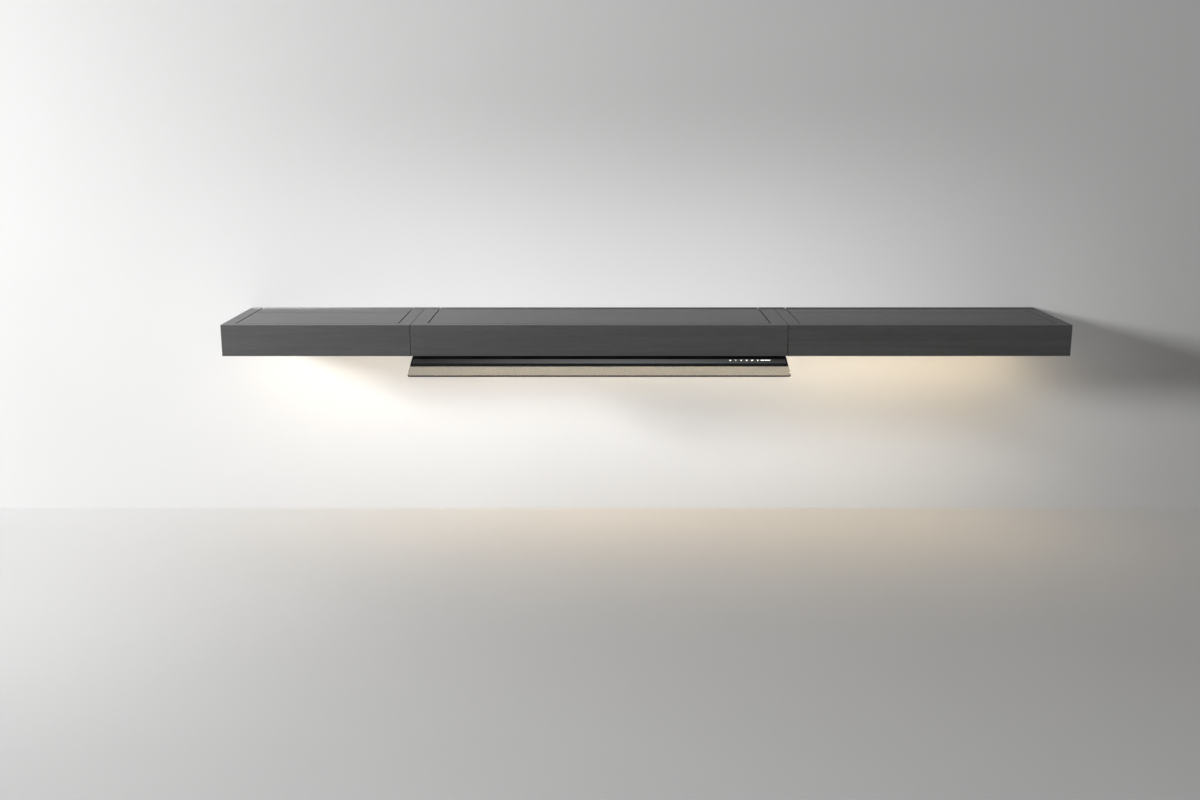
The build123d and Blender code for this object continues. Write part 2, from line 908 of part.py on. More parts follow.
def volute_cover():
    """Flat lid of the volute, which carries the motor."""
    air = volute_outline(outlet_plane())
    cover = extrude(Pos(0, 0, fan_top - volute_wall) * offset(air, volute_wall), volute_wall)
    cover -= block((outlet_plane(), outlet_plane() + 2 * volute_wall), (front, 0),
                   (fan_bottom, fan_top + past))
    cover -= rod_along("Z", (fan_x, fan_y, fan_top - volute_wall - past),
                       volute_wall + 2 * past, motor_hole_radius)
    return cover


def inlet_ring():
    """Bell mouth in the volute's floor, flared towards the filters in two cones."""
    high = fan_bottom + volute_wall
    low = fan_bottom - inlet_flare
    bell = [
        (inlet_radius, high),
        (inlet_radius, fan_bottom),
        (inlet_radius + inlet_first_step, (fan_bottom + low) / 2),
        (inlet_radius + inlet_flare, low),
        (inlet_radius + inlet_flare + inlet_wall, low),
        (inlet_radius + inlet_flare, fan_bottom),
        (inlet_radius + inlet_wall, fan_bottom),
        (inlet_radius + inlet_wall, high),
    ]
    profile = Plane.XZ * make_face(Polyline(*bell, close=True))
    return Pos(fan_x, fan_y, 0) * revolve(profile, Axis.Z)


def motor():
    """Motor hung from the volute's cover, with cooling ribs and the bore for its shaft."""
    flange_low = fan_top - volute_wall - motor_flange
    core_radius = motor_radius - motor_rib_depth
    body = rod_along("Z", (0, 0, motor_bottom), motor_height, core_radius)
    for i in range(motor_rib_count):
        rib = block((core_radius - motor_rib_depth, motor_radius),
                    (-motor_rib_width / 2, motor_rib_width / 2),
                    (motor_bottom + motor_rib_setback, flange_low))
        body += Rot(0, 0, 360 * i / motor_rib_count) * rib
    body += rod_along("Z", (0, 0, flange_low), motor_flange, motor_flange_radius)
    body -= rod_along("Z", (0, 0, motor_bottom - past), shaft_in_motor + past,
                      shaft_radius + shaft_clearance)
    return Pos(fan_x, fan_y, 0) * body


def motor_shaft():
    """Shaft from inside the motor to the end of the wheel's hub."""
    low = cup_floor - hub_length
    high = motor_bottom + shaft_in_motor - shaft_end_gap
    return rod_along("Z", (fan_x, fan_y, low), high - low, shaft_radius)


def blade():
    """Forward-curved blade of the wheel, rolled in flats along an arc."""
    inner = wheel_radius - blade_depth
    outer = wheel_radius - blade_tip_gap
    arc = ThreePointArc((inner, 0), ((inner + outer) / 2, -blade_bow), (outer, blade_lean))
    flats = [arc @ (i / blade_flats) for i in range(blade_flats + 1)]
    strip = make_face(offset(Polyline(*flats), blade_thickness, side=Side.LEFT))
    low = wheel_bottom + wheel_ring
    return extrude(Pos(0, 0, low) * strip, wheel_top - wheel_ring - low)


def impeller():
    """Wheel: a drum of blades on a back disc, whose cup reaches round the motor to the hub."""
    wheel = rod_along("Z", (0, 0, wheel_top - wheel_ring), wheel_ring, wheel_radius)
    wheel += rod_along("Z", (0, 0, cup_floor - cup_wall), wheel_top - cup_floor + cup_wall,
                       cup_inside + cup_wall)
    wheel -= rod_along("Z", (0, 0, cup_floor), wheel_top - cup_floor + past, cup_inside)
    wheel += rod_along("Z", (0, 0, cup_floor - hub_length), hub_length, hub_radius)
    wheel -= rod_along("Z", (0, 0, cup_floor - hub_length - past), hub_length + 2 * past,
                       shaft_radius)
    ring = rod_along("Z", (0, 0, wheel_bottom), wheel_ring, wheel_radius)
    ring -= rod_along("Z", (0, 0, wheel_bottom - past), wheel_ring + 2 * past,
                      wheel_radius - wheel_ring_width)
    blades = [Rot(0, 0, 360 * i / blade_count) * blade() for i in range(blade_count)]
    wheel = wheel + ([ring] + blades)
    return Pos(fan_x, fan_y, 0) * wheel


def bush_places():
    """The four corners where the volute hangs from the fan plate."""
    reach = bush_place * sin(radians(45))
    return [(fan_x + i * reach, fan_y + j * reach) for i in (-1, 1) for j in (-1, 1)]


def fan_bushes():
    """Rubber bushes between the volute's cover and the fan plate."""
    return [rod_along("Z", (x, y, fan_top), bush_height, bush_radius) for x, y in bush_places()]


def fan_plate():
    """Folded plate that bridges the chamber and carries the fan on its bushes."""
    front_y = pocket_wall - fan_plate_overhang
    foot = slope_height(front_y + fan_plate_gauge, ceiling + sheet)
    line = [
        (back, fan_plate_bottom + fan_plate_gauge - fan_plate_leg),
        (back, fan_plate_bottom + fan_plate_gauge),
        (front_y, fan_plate_bottom + fan_plate_gauge),
        (front_y, foot),
    ]
    x = (fan_x - fan_plate_width / 2, fan_x + fan_plate_width / 2)
    return folded_sheet(line, fan_plate_gauge, x, Side.LEFT)


def outlet_box():
    """Box that turns the air from the volute's outlet back to the wall."""
    outside = (front_of_box(), -collar_depth + collar_lap)
    box = block((-box_half, box_half), outside, (-box_rise_half, box_rise_half))
    box -= block(
        (-box_half + duct_wall, box_half - duct_wall),
        (outside[0] + duct_wall, outside[1] + past),
        (-box_rise_half + duct_wall, box_rise_half - duct_wall),
    )
    low, high = outlet_mouth()
    box -= block((-box_half - past, -box_half + duct_wall + past), (low, high),
                 (fan_bottom + volute_wall, fan_top - volute_wall))
    return box


def front_of_box():
    """Front face of the outlet box, just behind the pocket's upstand."""
    return pocket_wall + sheet + box_clearance


def outlet_mouth():
    """Depths between which the volute's outlet is open."""
    last_radius = volute_radius + volute_quarters * volute_growth
    low = fan_y - volute_growth / 2 - last_radius
    high = fan_y + volute_growth / 2 + volute_radius * sin(radians(tongue_angle))
    return low, high


def outlet_collar():
    """Collar for flat duct, through the back plate to the wall, with a flange inside."""
    collar = block((-duct_width / 2, duct_width / 2), (-collar_depth, 0),
                   (-duct_height / 2, duct_height / 2))
    flange_half = duct_width / 2 + collar_flange
    flange_rise = duct_height / 2 + collar_flange
    collar += block((-flange_half, flange_half), (back - duct_wall, back), (-flange_rise, flange_rise))
    collar -= block(
        (-duct_width / 2 + duct_wall, duct_width / 2 - duct_wall),
        (-collar_depth - past, past),
        (-duct_height / 2 + duct_wall, duct_height / 2 - duct_wall),
    )
    pin_y, pin_z = damper_axis()
    collar -= rod_along("X", (-duct_width, pin_y, pin_z), 2 * duct_width, pin_radius)
    return collar


def damper_axis():
    """Depth and height of the damper's pin."""
    return -flap_setback, duct_height / 2 - flap_pin_drop


def damper_pin():
    """Pin held in the collar's side walls."""
    pin_y, pin_z = damper_axis()
    return rod_along("X", (-duct_width / 2, pin_y, pin_z), duct_width, pin_radius)


def damper_flap():
    """Flap that hangs from the pin on two knuckles and shuts the collar."""
    pin_y, pin_z = damper_axis()
    half = duct_width / 2 - duct_wall - flap_gap
    low = -duct_height / 2 + duct_wall + flap_gap
    flap = block((-half, half), (pin_y - flap_gauge / 2, pin_y + flap_gauge / 2),
                 (low, pin_z - knuckle_radius / 2))
    for x in (-half + knuckle_length / 2, half - knuckle_length / 2):
        flap += rod_along("X", (x - knuckle_length / 2, pin_y, pin_z), knuckle_length,
                          knuckle_radius)
    flap -= rod_along("X", (-duct_width, pin_y, pin_z), 2 * duct_width, pin_radius + pin_clearance)
    return flap


def electric_box(x, length, width, height):
    """Closed box on the pocket's ceiling, with bevelled corners and a raised rim."""
    low = ceiling + sheet
    box = block((x - length / 2, x + length / 2), (box_rise, box_rise + width), (low, low + height))
    box = chamfer(box.edges().filter_by(Axis.Z), box_corner)
    rim = block(
        (x - length / 2 - box_rim, x + length / 2 + box_rim),
        (box_rise - box_rim, box_rise + width + box_rim),
        (low + height - box_rim_drop - box_rim, low + height - box_rim_drop),
    )
    rim = chamfer(rim.edges().filter_by(Axis.Z), box_corner)
    return slope * (box + rim)


def mains_gland():
    """Gland in the back plate, where the mains cable enters."""
    nut = extrude(RegularPolygon(gland_flange, 6), gland_length)
    gland = Pos(gland_x, back - gland_length, gland_z) * Rot(-90, 0, 0) * nut
    gland += rod_along("Y", (gland_x, back, gland_z), gland_length, gland_body)
    gland -= rod_along("Y", (gland_x, back - gland_length - past, gland_z),
                       2 * gland_length + 2 * past, gland_bore)
    return gland


nodes = {
    "left_case": shelf_case(left_span, seam_left),
    "right_case": shelf_case(right_span, seam_right),
    "hood_case": hood_case(),
    "hood_lid": hood_lid(),
    "left_cheek": cheek(-1),
    "right_cheek": cheek(1),
    "intake_tray": intake_tray(),
    "pocket_ceiling": pocket_ceiling(),
    "back_plate": back_plate(),
    "front_angle": front_angle(),
    "left_wall_rail": wall_rail((-rail_outer, -rail_inner)),
    "right_wall_rail": wall_rail((rail_inner, rail_outer)),
    "hook_brackets": hook_brackets(),
    "levelling_screws": levelling_screws(),
    "module_bolts": module_bolts(),
    "left_guide": visor_guide(-1),
    "right_guide": visor_guide(1),
    "guide_stops": guide_stops(),
    "visor_glass": visor_glass(),
    "control_panel": control_panel(),
    "control_bar": control_bar(),
    "bar_end_caps": bar_end_caps(),
    "touch_board": touch_board(),
    "visor_carriage": visor_carriage(),
    "guide_shoes": guide_shoes(),
    "filter_magnets": filter_magnets(),
    "volute_base": volute_base(),
    "volute_cover": volute_cover(),
    "inlet_ring": inlet_ring(),
    "motor": motor(),
    "motor_shaft": motor_shaft(),
    "impeller": impeller(),
    "fan_bushes": fan_bushes(),
    "fan_plate": fan_plate(),
    "outlet_box": outlet_box(),
    "outlet_collar": outlet_collar(),
    "damper_pin": damper_pin(),
    "damper_flap": damper_flap(),
    "power_box": electric_box(power_box_x, power_box_length, power_box_width, power_box_height),
    "light_driver": electric_box(driver_x, driver_length, driver_width, driver_height),
    "mains_gland": mains_gland(),
    "hood_light_channel": light_channel(hood_span, hood_light_setback),
    "hood_diffuser": light_diffuser(hood_span, hood_light_setback),
    "led_tapes": [
        led_tape(left_span, shelf_light_setback),
        led_tape(hood_span, hood_light_setback),
        led_tape(right_span, shelf_light_setback),
    ],
}
for name, span in (("left", left_span), ("right", right_span)):
    panel_y = (front + front_border + groove, -service_depth - groove / 2)
    cover_y = (-service_depth + groove / 2, -lift_gap)
    nodes[name + "_panel"] = inset_panel(span, shelf_border, panel_y, 0)
    nodes[name + "_cover"] = inset_panel(span, shelf_border, cover_y, lift_gap)
    nodes[name + "_battens"] = battens(span)
    nodes[name + "_bracket"] = wall_bracket(span)
    nodes[name + "_light_channel"] = light_channel(span, shelf_light_setback)
    nodes[name + "_diffuser"] = light_diffuser(span, shelf_light_setback)
for name, x in zip(("filter_left", "filter_middle", "filter_right"), filter_places):
    nodes[name] = grease_filter(x)

os.makedirs("parts", exist_ok=True)
for name, shape in nodes.items():
    solids = Compound(children=shape) if isinstance(shape, list) else shape
    export_step(solids, "parts/" + name + ".step")
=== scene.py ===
"""Looks of the shelf range hood: stained timber, sheet steel, smoked glass, touch field and lights."""
import logging
import math
from dataclasses import dataclass, field
from enum import Enum
from functools import cached_property
from typing import Sequence, Union

import bmesh
import bpy
from mathutils import Matrix, Vector


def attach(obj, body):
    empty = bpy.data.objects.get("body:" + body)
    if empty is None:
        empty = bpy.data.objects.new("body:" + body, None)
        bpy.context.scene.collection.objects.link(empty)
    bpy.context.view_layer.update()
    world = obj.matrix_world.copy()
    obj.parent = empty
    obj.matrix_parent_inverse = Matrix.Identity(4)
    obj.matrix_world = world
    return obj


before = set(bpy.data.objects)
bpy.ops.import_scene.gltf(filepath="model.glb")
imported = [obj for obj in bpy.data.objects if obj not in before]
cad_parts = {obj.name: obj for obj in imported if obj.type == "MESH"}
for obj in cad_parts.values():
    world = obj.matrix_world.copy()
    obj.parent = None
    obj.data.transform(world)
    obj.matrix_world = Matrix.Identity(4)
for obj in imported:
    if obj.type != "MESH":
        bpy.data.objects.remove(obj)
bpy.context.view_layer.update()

log = logging.getLogger("shelf_hood")

Pair = tuple[float, float]
Triple = tuple[float, float, float]
Colour = Triple
Number = Union[float, "Signal"]
Node = bpy.types.Node
Material = bpy.types.Material
Mesh = bmesh.types.BMesh
MILLIMETRE = 0.001


def scaled(colour: Colour, factor: float, lift: float = 0.0) -> Colour:
    """A colour times a factor, then lifted by the same amount in each channel."""
    return tuple(part * factor + lift for part in colour)


def add_object(name: str, data: bpy.types.ID) -> bpy.types.Object:
    """Put a mesh, lamp or camera into the scene as an object.

    Args:
        name: The object's name.
        data: What it shows.

    Returns:
        The object.
    """
    made = bpy.data.objects.new(name, data)
    bpy.context.scene.collection.objects.link(made)
    return made


# Materials: arithmetic on sockets


class Signal:
    """An output socket of a material's graph, with arithmetic that adds Math nodes."""

    def __init__(self, graph: "Graph", socket: bpy.types.NodeSocket) -> None:
        """Wrap a socket of a graph."""
        self.graph = graph
        self.socket = socket

    def __add__(self, other: Number) -> "Signal":
        """Sum."""
        return self.graph.math("ADD", self, other)

    def __sub__(self, other: Number) -> "Signal":
        """Difference."""
        return self.graph.math("SUBTRACT", self, other)

    def __rsub__(self, other: Number) -> "Signal":
        """Difference with a number on the left."""
        return self.graph.math("SUBTRACT", other, self)

    def __mul__(self, other: Number) -> "Signal":
        """Product."""
        return self.graph.math("MULTIPLY", self, other)

    def __abs__(self) -> "Signal":
        """Size without its sign."""
        return self.graph.math("ABSOLUTE", self)

    def larger(self, other: Number) -> "Signal":
        """The larger of the two."""
        return self.graph.math("MAXIMUM", self, other)

    def step(self, low: float, high: float) -> "Signal":
        """Smooth rise from 0 at the low value to 1 at the high one."""
        return self.graph.signal(
            "ShaderNodeMapRange", settings={"interpolation_type": "SMOOTHSTEP"},
            inputs={0: self, 1: low, 2: high},
        )

    __radd__ = __add__
    __rmul__ = __mul__


class Graph:
    """The node graph of one material or world."""

    def __init__(self, owner: Material | bpy.types.World) -> None:
        """Open the owner's graph and empty it.

        Args:
            owner: The material or world.
        """
        owner.use_nodes = True
        self.tree = owner.node_tree
        self.tree.nodes.clear()

    def node(
        self,
        kind: str,
        settings: dict[str, object] | None = None,
        inputs: dict[int | str, object] | None = None,
    ) -> Node:
        """Make one node.

        Args:
            kind: The node's type.
            settings: Its properties, set first; "stops" fills a ramp with (place, colour) pairs.
            inputs: Values, signals or nodes for its sockets, by index or name.

        Returns:
            The node.
        """
        made = self.tree.nodes.new(kind)
        for key, value in (settings or {}).items():
            if key == "stops":
                self._fill_ramp(made, value)
            else:
                setattr(made, key, value)
        for key, value in (inputs or {}).items():
            if isinstance(value, Signal):
                self.tree.links.new(value.socket, made.inputs[key])
            elif isinstance(value, Node):
                self.tree.links.new(value.outputs[0], made.inputs[key])
            else:
                made.inputs[key].default_value = value
        return made

    @staticmethod
    def _fill_ramp(node: Node, stops: Sequence[tuple[float, Colour]]) -> None:
        """Set the stops of a colour ramp.

        Args:
            node: The ramp.
            stops: Pairs of place and colour.
        """
        elements = node.color_ramp.elements
        while len(elements) > 1:
            elements.remove(elements[-1])
        elements[0].position = stops[0][0]
        elements[0].color = (*stops[0][1], 1.0)
        for place, colour in stops[1:]:
            elements.new(place).color = (*colour, 1.0)

    def signal(self, kind: str, output: int | str = 0, **parts: dict) -> Signal:
        """Make one node and take one of its outputs, by index or name."""
        return Signal(self, self.node(kind, **parts).outputs[output])

    def math(self, operation: str, *operands: Number) -> Signal:
        """Apply a Math node to numbers or signals, in their order."""
        return self.signal(
            "ShaderNodeMath", settings={"operation": operation}, inputs=dict(enumerate(operands))
        )

    @cached_property
    def place(self) -> Signal:
        """Position in the shared frame, in metres."""
        return self.signal("ShaderNodeTexCoord", "Object")

    def ray(self, what: str) -> Signal:
        """What the Light Path node says about the ray."""
        return self.signal("ShaderNodeLightPath", what)

    def axes(self, vector: Signal) -> tuple[Signal, Signal, Signal]:
        """Split a vector into its three parts."""
        split = self.node("ShaderNodeSeparateXYZ", inputs={0: vector})
        return tuple(Signal(self, split.outputs[i]) for i in range(3))

    def vector(self, x: Number, y: Number, z: Number) -> Signal:
        """Join three numbers into a vector."""
        return self.signal("ShaderNodeCombineXYZ", inputs={0: x, 1: y, 2: z})

    def noise(
        self, scale: float | Triple, detail: float = 2.0, rough: float = 0.5, warp: float = 0.0,
        vector: Signal | None = None,
    ) -> Signal:
        """Smooth noise from 0 to 1.

        Args:
            scale: Features in a metre, the same for the three axes or one number for each.
            detail: Layers of finer noise.
            rough: Weight of the finer layers.
            warp: Distortion.
            vector: Where it is read, if not at the position itself.

        Returns:
            The noise.
        """
        vector = vector or self.place
        if isinstance(scale, tuple):
            vector = self.signal(
                "ShaderNodeVectorMath", settings={"operation": "MULTIPLY"}, inputs={0: vector, 1: scale}
            )
            scale = 1.0
        return self.signal(
            "ShaderNodeTexNoise",
            inputs={"Vector": vector, "Scale": scale, "Detail": detail, "Roughness": rough,
                    "Distortion": warp},
        )

    def cells(self, vector: Signal, scale: float) -> Signal:
        """A flat random value in each of many small cells."""
        cell = self.node("ShaderNodeTexVoronoi", inputs={"Vector": vector, "Scale": scale})
        return self.axes(Signal(self, cell.outputs["Color"]))[0]

    def ramp(self, value: Signal, stops: Sequence[tuple[float, Colour]]) -> Signal:
        """Colour that follows a value, with stops that are pairs of place and colour."""
        return self.signal("ShaderNodeValToRGB", settings={"stops": stops}, inputs={0: value})

    def blend(self, factor: Number, first: object, second: object) -> Signal:
        """Mix two colours.

        Args:
            factor: 0 for the first, 1 for the second.
            first: Colour or signal.
            second: Colour or signal.

        Returns:
            The mixed colour.
        """
        ends = [c if isinstance(c, Signal) else (*c, 1.0) for c in (first, second)]
        # The node keeps its colour sockets behind those for numbers and vectors.
        return self.signal(
            "ShaderNodeMix", 2, settings={"data_type": "RGBA"},
            inputs={0: factor, 6: ends[0], 7: ends[1]},
        )

    def bump(self, height: Signal, depth: float) -> Signal:
        """Normal of a surface with relief from 0 to 1, where 1 stands for a depth in metres."""
        return self.signal("ShaderNodeBump", inputs={"Height": height, "Distance": depth})

    def principled(self, **sockets: object) -> Node:
        """Make a principled shader.

        Args:
            sockets: Values by socket name, with underscores for spaces.

        Returns:
            The shader's node.
        """
        inputs = {}
        for key, value in sockets.items():
            inputs[key.replace("_", " ")] = (*value, 1.0) if isinstance(value, tuple) else value
        return self.node("ShaderNodeBsdfPrincipled", inputs=inputs)

    def output(self, shader: Node) -> None:
        """Connect a shader to the material's output."""
        self.node("ShaderNodeOutputMaterial", inputs={"Surface": shader})

    def mix(self, factor: Signal, first: Node, second: Node) -> Node:
        """Mix two shaders, from the first at 0 to the second at 1."""
        return self.node("ShaderNodeMixShader", inputs={0: factor, 1: first, 2: second})


# Finishes


@dataclass(frozen=True)
class Finish:
    """Base of the finishes, which fill the graph of a new material."""

    def make(self, name: str) -> Material:
        """Build the material.

        Args:
            name: The material's name.

        Returns:
            The material.
        """
        material = bpy.data.materials.new(name)
        g = Graph(material)
        g.output(self.shader(g))
        return material

    def shader(self, g: Graph) -> Node:
        """Add the finish's nodes and return the shader that ends them."""
        raise NotImplementedError


class Grain(Enum):
    """Direction of a brushed or rolled sheet's fine lines."""

    ALONG_X = (6.0, 900.0, 900.0)
    NONE = (160.0, 160.0, 160.0)


@dataclass(frozen=True)
class Oak(Finish):
    """Oak veneer with its grain along the shelf, stained charcoal under a matt lacquer."""

    shift: float = 0.0
    dark: Colour = (0.040, 0.040, 0.040)
    light: Colour = (0.080, 0.080, 0.079)
    roughness: float = 0.44
    relief: float = 0.12 * MILLIMETRE
    joint: float = 0.600
    joint_painted_shade: Pair = (1.0 * MILLIMETRE, 3.2 * MILLIMETRE)
    figures: Triple = (1.44, 17.6, 20.8)
    bands: Triple = (2.55, 78.0, 90.0)
    streaks: Triple = (15.0, 300.0, 330.0)
    pores: Triple = (26.0, 1250.0, 1250.0)
    pore_shade: float = 0.42
    wear: float = 46.0
    worn_and_lit_shade: float = 1.9
    corner_gap: Pair = (10.0 * MILLIMETRE, 20.0 * MILLIMETRE)
    joint_shade_by_light: Pair = (-0.6, 0.5)

    def shader(self, g: Graph) -> Node:
        """Add the finish's nodes.

        Args:
            g: The material's graph.

        Returns:
            The shader.
        """
        x, y, z = g.axes(g.place)
        facing = g.axes(g.signal("ShaderNodeTexCoord", "Normal"))
        # On the ends the veneer runs from front to back.
        on_end = abs(facing[0]).step(0.6, 0.8)
        along = x + on_end * (y - x)
        across = y + on_end * (x - y)
        grain = g.vector(along + self.shift, across, z)
        figure = g.noise(self.figures, 4.0, 0.55, 0.9, grain)
        bands = g.noise(self.bands, 3.0, 0.6, 0.4, grain)
        streaks = g.noise(self.streaks, 3.0, 0.6, 0.0, grain)
        pores = g.noise(self.pores, 2.0, 0.55, 0.0, grain).step(0.57, 0.70)
        tone = (figure * 0.45 + bands * 0.35 + streaks * 0.45 - 0.13).step(0.18, 0.86)
        colour = g.ramp(tone, [(0.0, self.dark), (0.55, self.mid()), (1.0, self.light)])
        colour = g.blend(pores * self.pore_shade, colour, scaled(self.dark, 0.5))
        from_joint = abs(abs(x) - self.joint)
        # The upper edges and the left corners are rubbed paler, but not beside a joint: partly wear,
        # partly a painted highlight on the edges that face the light from above and the left.
        left = (facing[0] * -1.0).larger(0.0)
        corners = left * abs(facing[1]) * from_joint.step(*self.corner_gap)
        worn_and_lit = (abs(facing[1]) * facing[2].larger(0.0) + corners).step(0.2, 0.45)
        rubbed_and_lit = worn_and_lit * (g.noise(self.wear, 3.0, 0.6, 0.0, grain).step(0.34, 0.62) * 0.55 + 0.2)
        colour = g.blend(rubbed_and_lit, colour, scaled(self.light, self.worn_and_lit_shade))
        # The joints between the modules are dark, with painted shade in them: on the front it is weaker
        # at the left, where the light falls in from the left.
        depth = abs(facing[2]) * 0.9 + abs(facing[1]) * (x.step(*self.joint_shade_by_light) * 0.8 + 0.1)
        shade = (1.0 - from_joint.step(*self.joint_painted_shade)) * depth
        colour = g.blend(shade, colour, scaled(self.dark, 0.1))
        height = streaks * 0.5 + bands * 0.25 - pores * 0.7
        return g.principled(
            Base_Color=colour,
            Roughness=self.roughness + streaks * 0.12 + pores * 0.14 - worn_and_lit * 0.06,
            Normal=g.bump(height, self.relief),
        )

    def mid(self) -> Colour:
        """Colour halfway between the dark and the light one."""
        return tuple((a + b) / 2 for a, b in zip(self.dark, self.light))


@dataclass(frozen=True)
class RawWood(Finish):
    """Planed softwood of the hidden battens, with its grain along the shelf."""

    dark: Colour = (0.36, 0.22, 0.11)
    light: Colour = (0.62, 0.45, 0.27)

    def shader(self, g: Graph) -> Node:
        """Add the finish's nodes.

        Args:
            g: The material's graph.

        Returns:
            The shader.
        """
        figure = g.noise((3.2, 52.0, 80.0), 4.0, 0.6, 1.2)
        lines = g.noise((8.0, 380.0, 420.0), 2.0)
        colour = g.ramp(figure * 0.7 + lines * 0.3, [(0.3, self.dark), (0.7, self.light)])
        return g.principled(
            Base_Color=colour,
            Roughness=0.62 + lines * 0.16,
            Normal=g.bump(lines, 0.1 * MILLIMETRE),
        )


@dataclass(frozen=True)
class Coated(Finish):
    """Powder-coated steel with a fine orange peel and a few rubbed places."""

    colour: Colour = (0.022, 0.022, 0.023)
    roughness: float = 0.46
    peel: float = 0.05 * MILLIMETRE
    grit: float = 620.0

    def shader(self, g: Graph) -> Node:
        """Add the finish's nodes.

        Args:
            g: The material's graph.

        Returns:
            The shader.
        """
        peel = g.noise(self.grit, 3.0, 0.55)
        cloud = g.noise(9.0, 4.0, 0.6)
        dust = g.noise(1500.0, 1.0).step(0.68, 0.78)
        lighter = scaled(self.colour, 1.7, 0.006)
        colour = g.blend(cloud * 0.6 + dust * 0.3, self.colour, lighter)
        return g.principled(
            Base_Color=colour,
            Roughness=self.roughness + cloud * 0.12 - peel * 0.06,
            Normal=g.bump(peel, self.peel),
        )


@dataclass(frozen=True)
class Sheet(Finish):
    """Bare sheet metal: brushed or rolled lines, cloudy plating and fine scratches."""

    colour: Colour = (0.62, 0.63, 0.65)
    roughness: float = 0.34
    grain: Grain = Grain.ALONG_X
    spangle: float = 0.0
    flake: float = 130.0
    lines: float = 0.02 * MILLIMETRE

    def shader(self, g: Graph) -> Node:
        """Add the finish's nodes.

        Args:
            g: The material's graph.

        Returns:
            The shader.
        """
        lines = g.noise(self.grain.value, 3.0, 0.6)
        cloud = g.noise(14.0, 4.0, 0.62)
        flakes = g.cells(g.place, self.flake)
        handled = g.noise(42.0, 5.0, 0.7, 1.5).step(0.55, 0.78)
        shade = lines * 0.25 + cloud * 0.35 + flakes * self.spangle
        darker = scaled(self.colour, 0.66)
        colour = g.blend(shade + handled * 0.12, self.colour, darker)
        return g.principled(
            Base_Color=colour,
            Metallic=1.0,
            Roughness=self.roughness + lines * 0.10 + flakes * self.spangle * 0.3 + handled * 0.08,
            Normal=g.bump(lines, self.lines),
        )


@dataclass(frozen=True)
class Moulded(Finish):
    """Injection-moulded plastic with a spark-eroded texture."""

    colour: Colour = (0.028, 0.028, 0.029)
    roughness: float = 0.44
    texture: float = 0.06 * MILLIMETRE

    def shader(self, g: Graph) -> Node:
        """Add the finish's nodes.

        Args:
            g: The material's graph.

        Returns:
            The shader.
        """
        grit = g.noise(1100.0, 2.0, 0.6)
        flow = g.noise((7.0, 20.0, 12.0), 3.0, 0.5, 0.8)
        lighter = scaled(self.colour, 1.5, 0.004)
        return g.principled(
            Base_Color=g.blend(flow * 0.5 + grit * 0.2, self.colour, lighter),
            Roughness=self.roughness + flow * 0.10 + grit * 0.05,
            Normal=g.bump(grit, self.texture),
        )


@dataclass(frozen=True)
class BlackGlass(Finish):
    """Back-printed glass of the control panel, with a trace of finger marks."""

    colour: Colour = (0.006, 0.006, 0.007)
    roughness: float = 0.06
    marks: float = 0.16

    def shader(self, g: Graph) -> Node:
        """Add the finish's nodes.

        Args:
            g: The material's graph.

        Returns:
            The shader.
        """
        smear = g.noise((14.0, 60.0, 60.0), 5.0, 0.7, 2.0).step(0.52, 0.8)
        speck = g.noise(2400.0, 1.0).step(0.7, 0.78)
        return g.principled(
            Base_Color=g.blend(speck * 0.2 + smear * 0.1, self.colour, (0.05, 0.05, 0.05)),
            Roughness=self.roughness + smear * self.marks,
            Coat_Weight=0.3 - smear * 0.2,
            Coat_Roughness=0.05,
        )


@dataclass(frozen=True)
class TouchFilm(Finish):
    """Satin graphite field behind the touch keys, with a painted highlight that makes it lighter towards
    its middle.
    """

    dark: Colour = (0.014, 0.014, 0.015)
    light: Colour = (0.205, 0.206, 0.208)
    highlight_place: float = 0.17
    highlight_reach: float = 0.82
    roughness: float = 0.36

    def shader(self, g: Graph) -> Node:
        """Add the finish's nodes.

        Args:
            g: The material's graph.

        Returns:
            The shader.
        """
        x, _, _ = g.axes(g.place)
        lines = g.noise(Grain.ALONG_X.value, 2.0)
        smear = g.noise((9.0, 70.0, 70.0), 4.0, 0.7, 1.5).step(0.5, 0.82)
        # Painted highlight: lighter round one place along the field, fading towards its ends.
        fade = 1.0 - abs(x - self.highlight_place).step(0.0, self.highlight_reach)
        colour = g.blend(fade * 0.9 + lines * 0.1, self.dark, self.light)
        return g.principled(
            Base_Color=colour,
            Roughness=self.roughness + lines * 0.08 + smear * 0.12,
            Normal=g.bump(lines, 0.01 * MILLIMETRE),
        )


@dataclass(frozen=True)
class SmokedGlass(Finish):
    """Clear smoked float glass."""

    tint: Colour = (0.64, 0.615, 0.555)
    polished_edge: Colour = (0.008, 0.006, 0.004)
    edge_slant: Pair = (0.45, 0.6)
    roughness: float = 0.0
    bending: float = 1.46

    def shader(self, g: Graph) -> Node:
        """Add the finish's nodes.

        Args:
            g: The material's graph.

        Returns:
            The shader.
        """
        haze = g.noise((3.0, 9.0, 9.0), 3.0, 0.5)
        facing = g.axes(g.signal("ShaderNodeTexCoord", "Normal"))
        edge = 1.0 - abs(facing[2]).step(*self.edge_slant)
        clear = g.principled(
            Base_Color=g.blend(haze * 0.08, self.tint, (0.8, 0.8, 0.8)),
            Roughness=self.roughness,
            Transmission_Weight=1.0,
            IOR=self.bending,
        )
        ground = g.principled(
            Base_Color=self.polished_edge,
            Roughness=0.45 + haze * 0.1,
            Specular_IOR_Level=0.05,
        )
        return g.mix(edge, clear, ground)


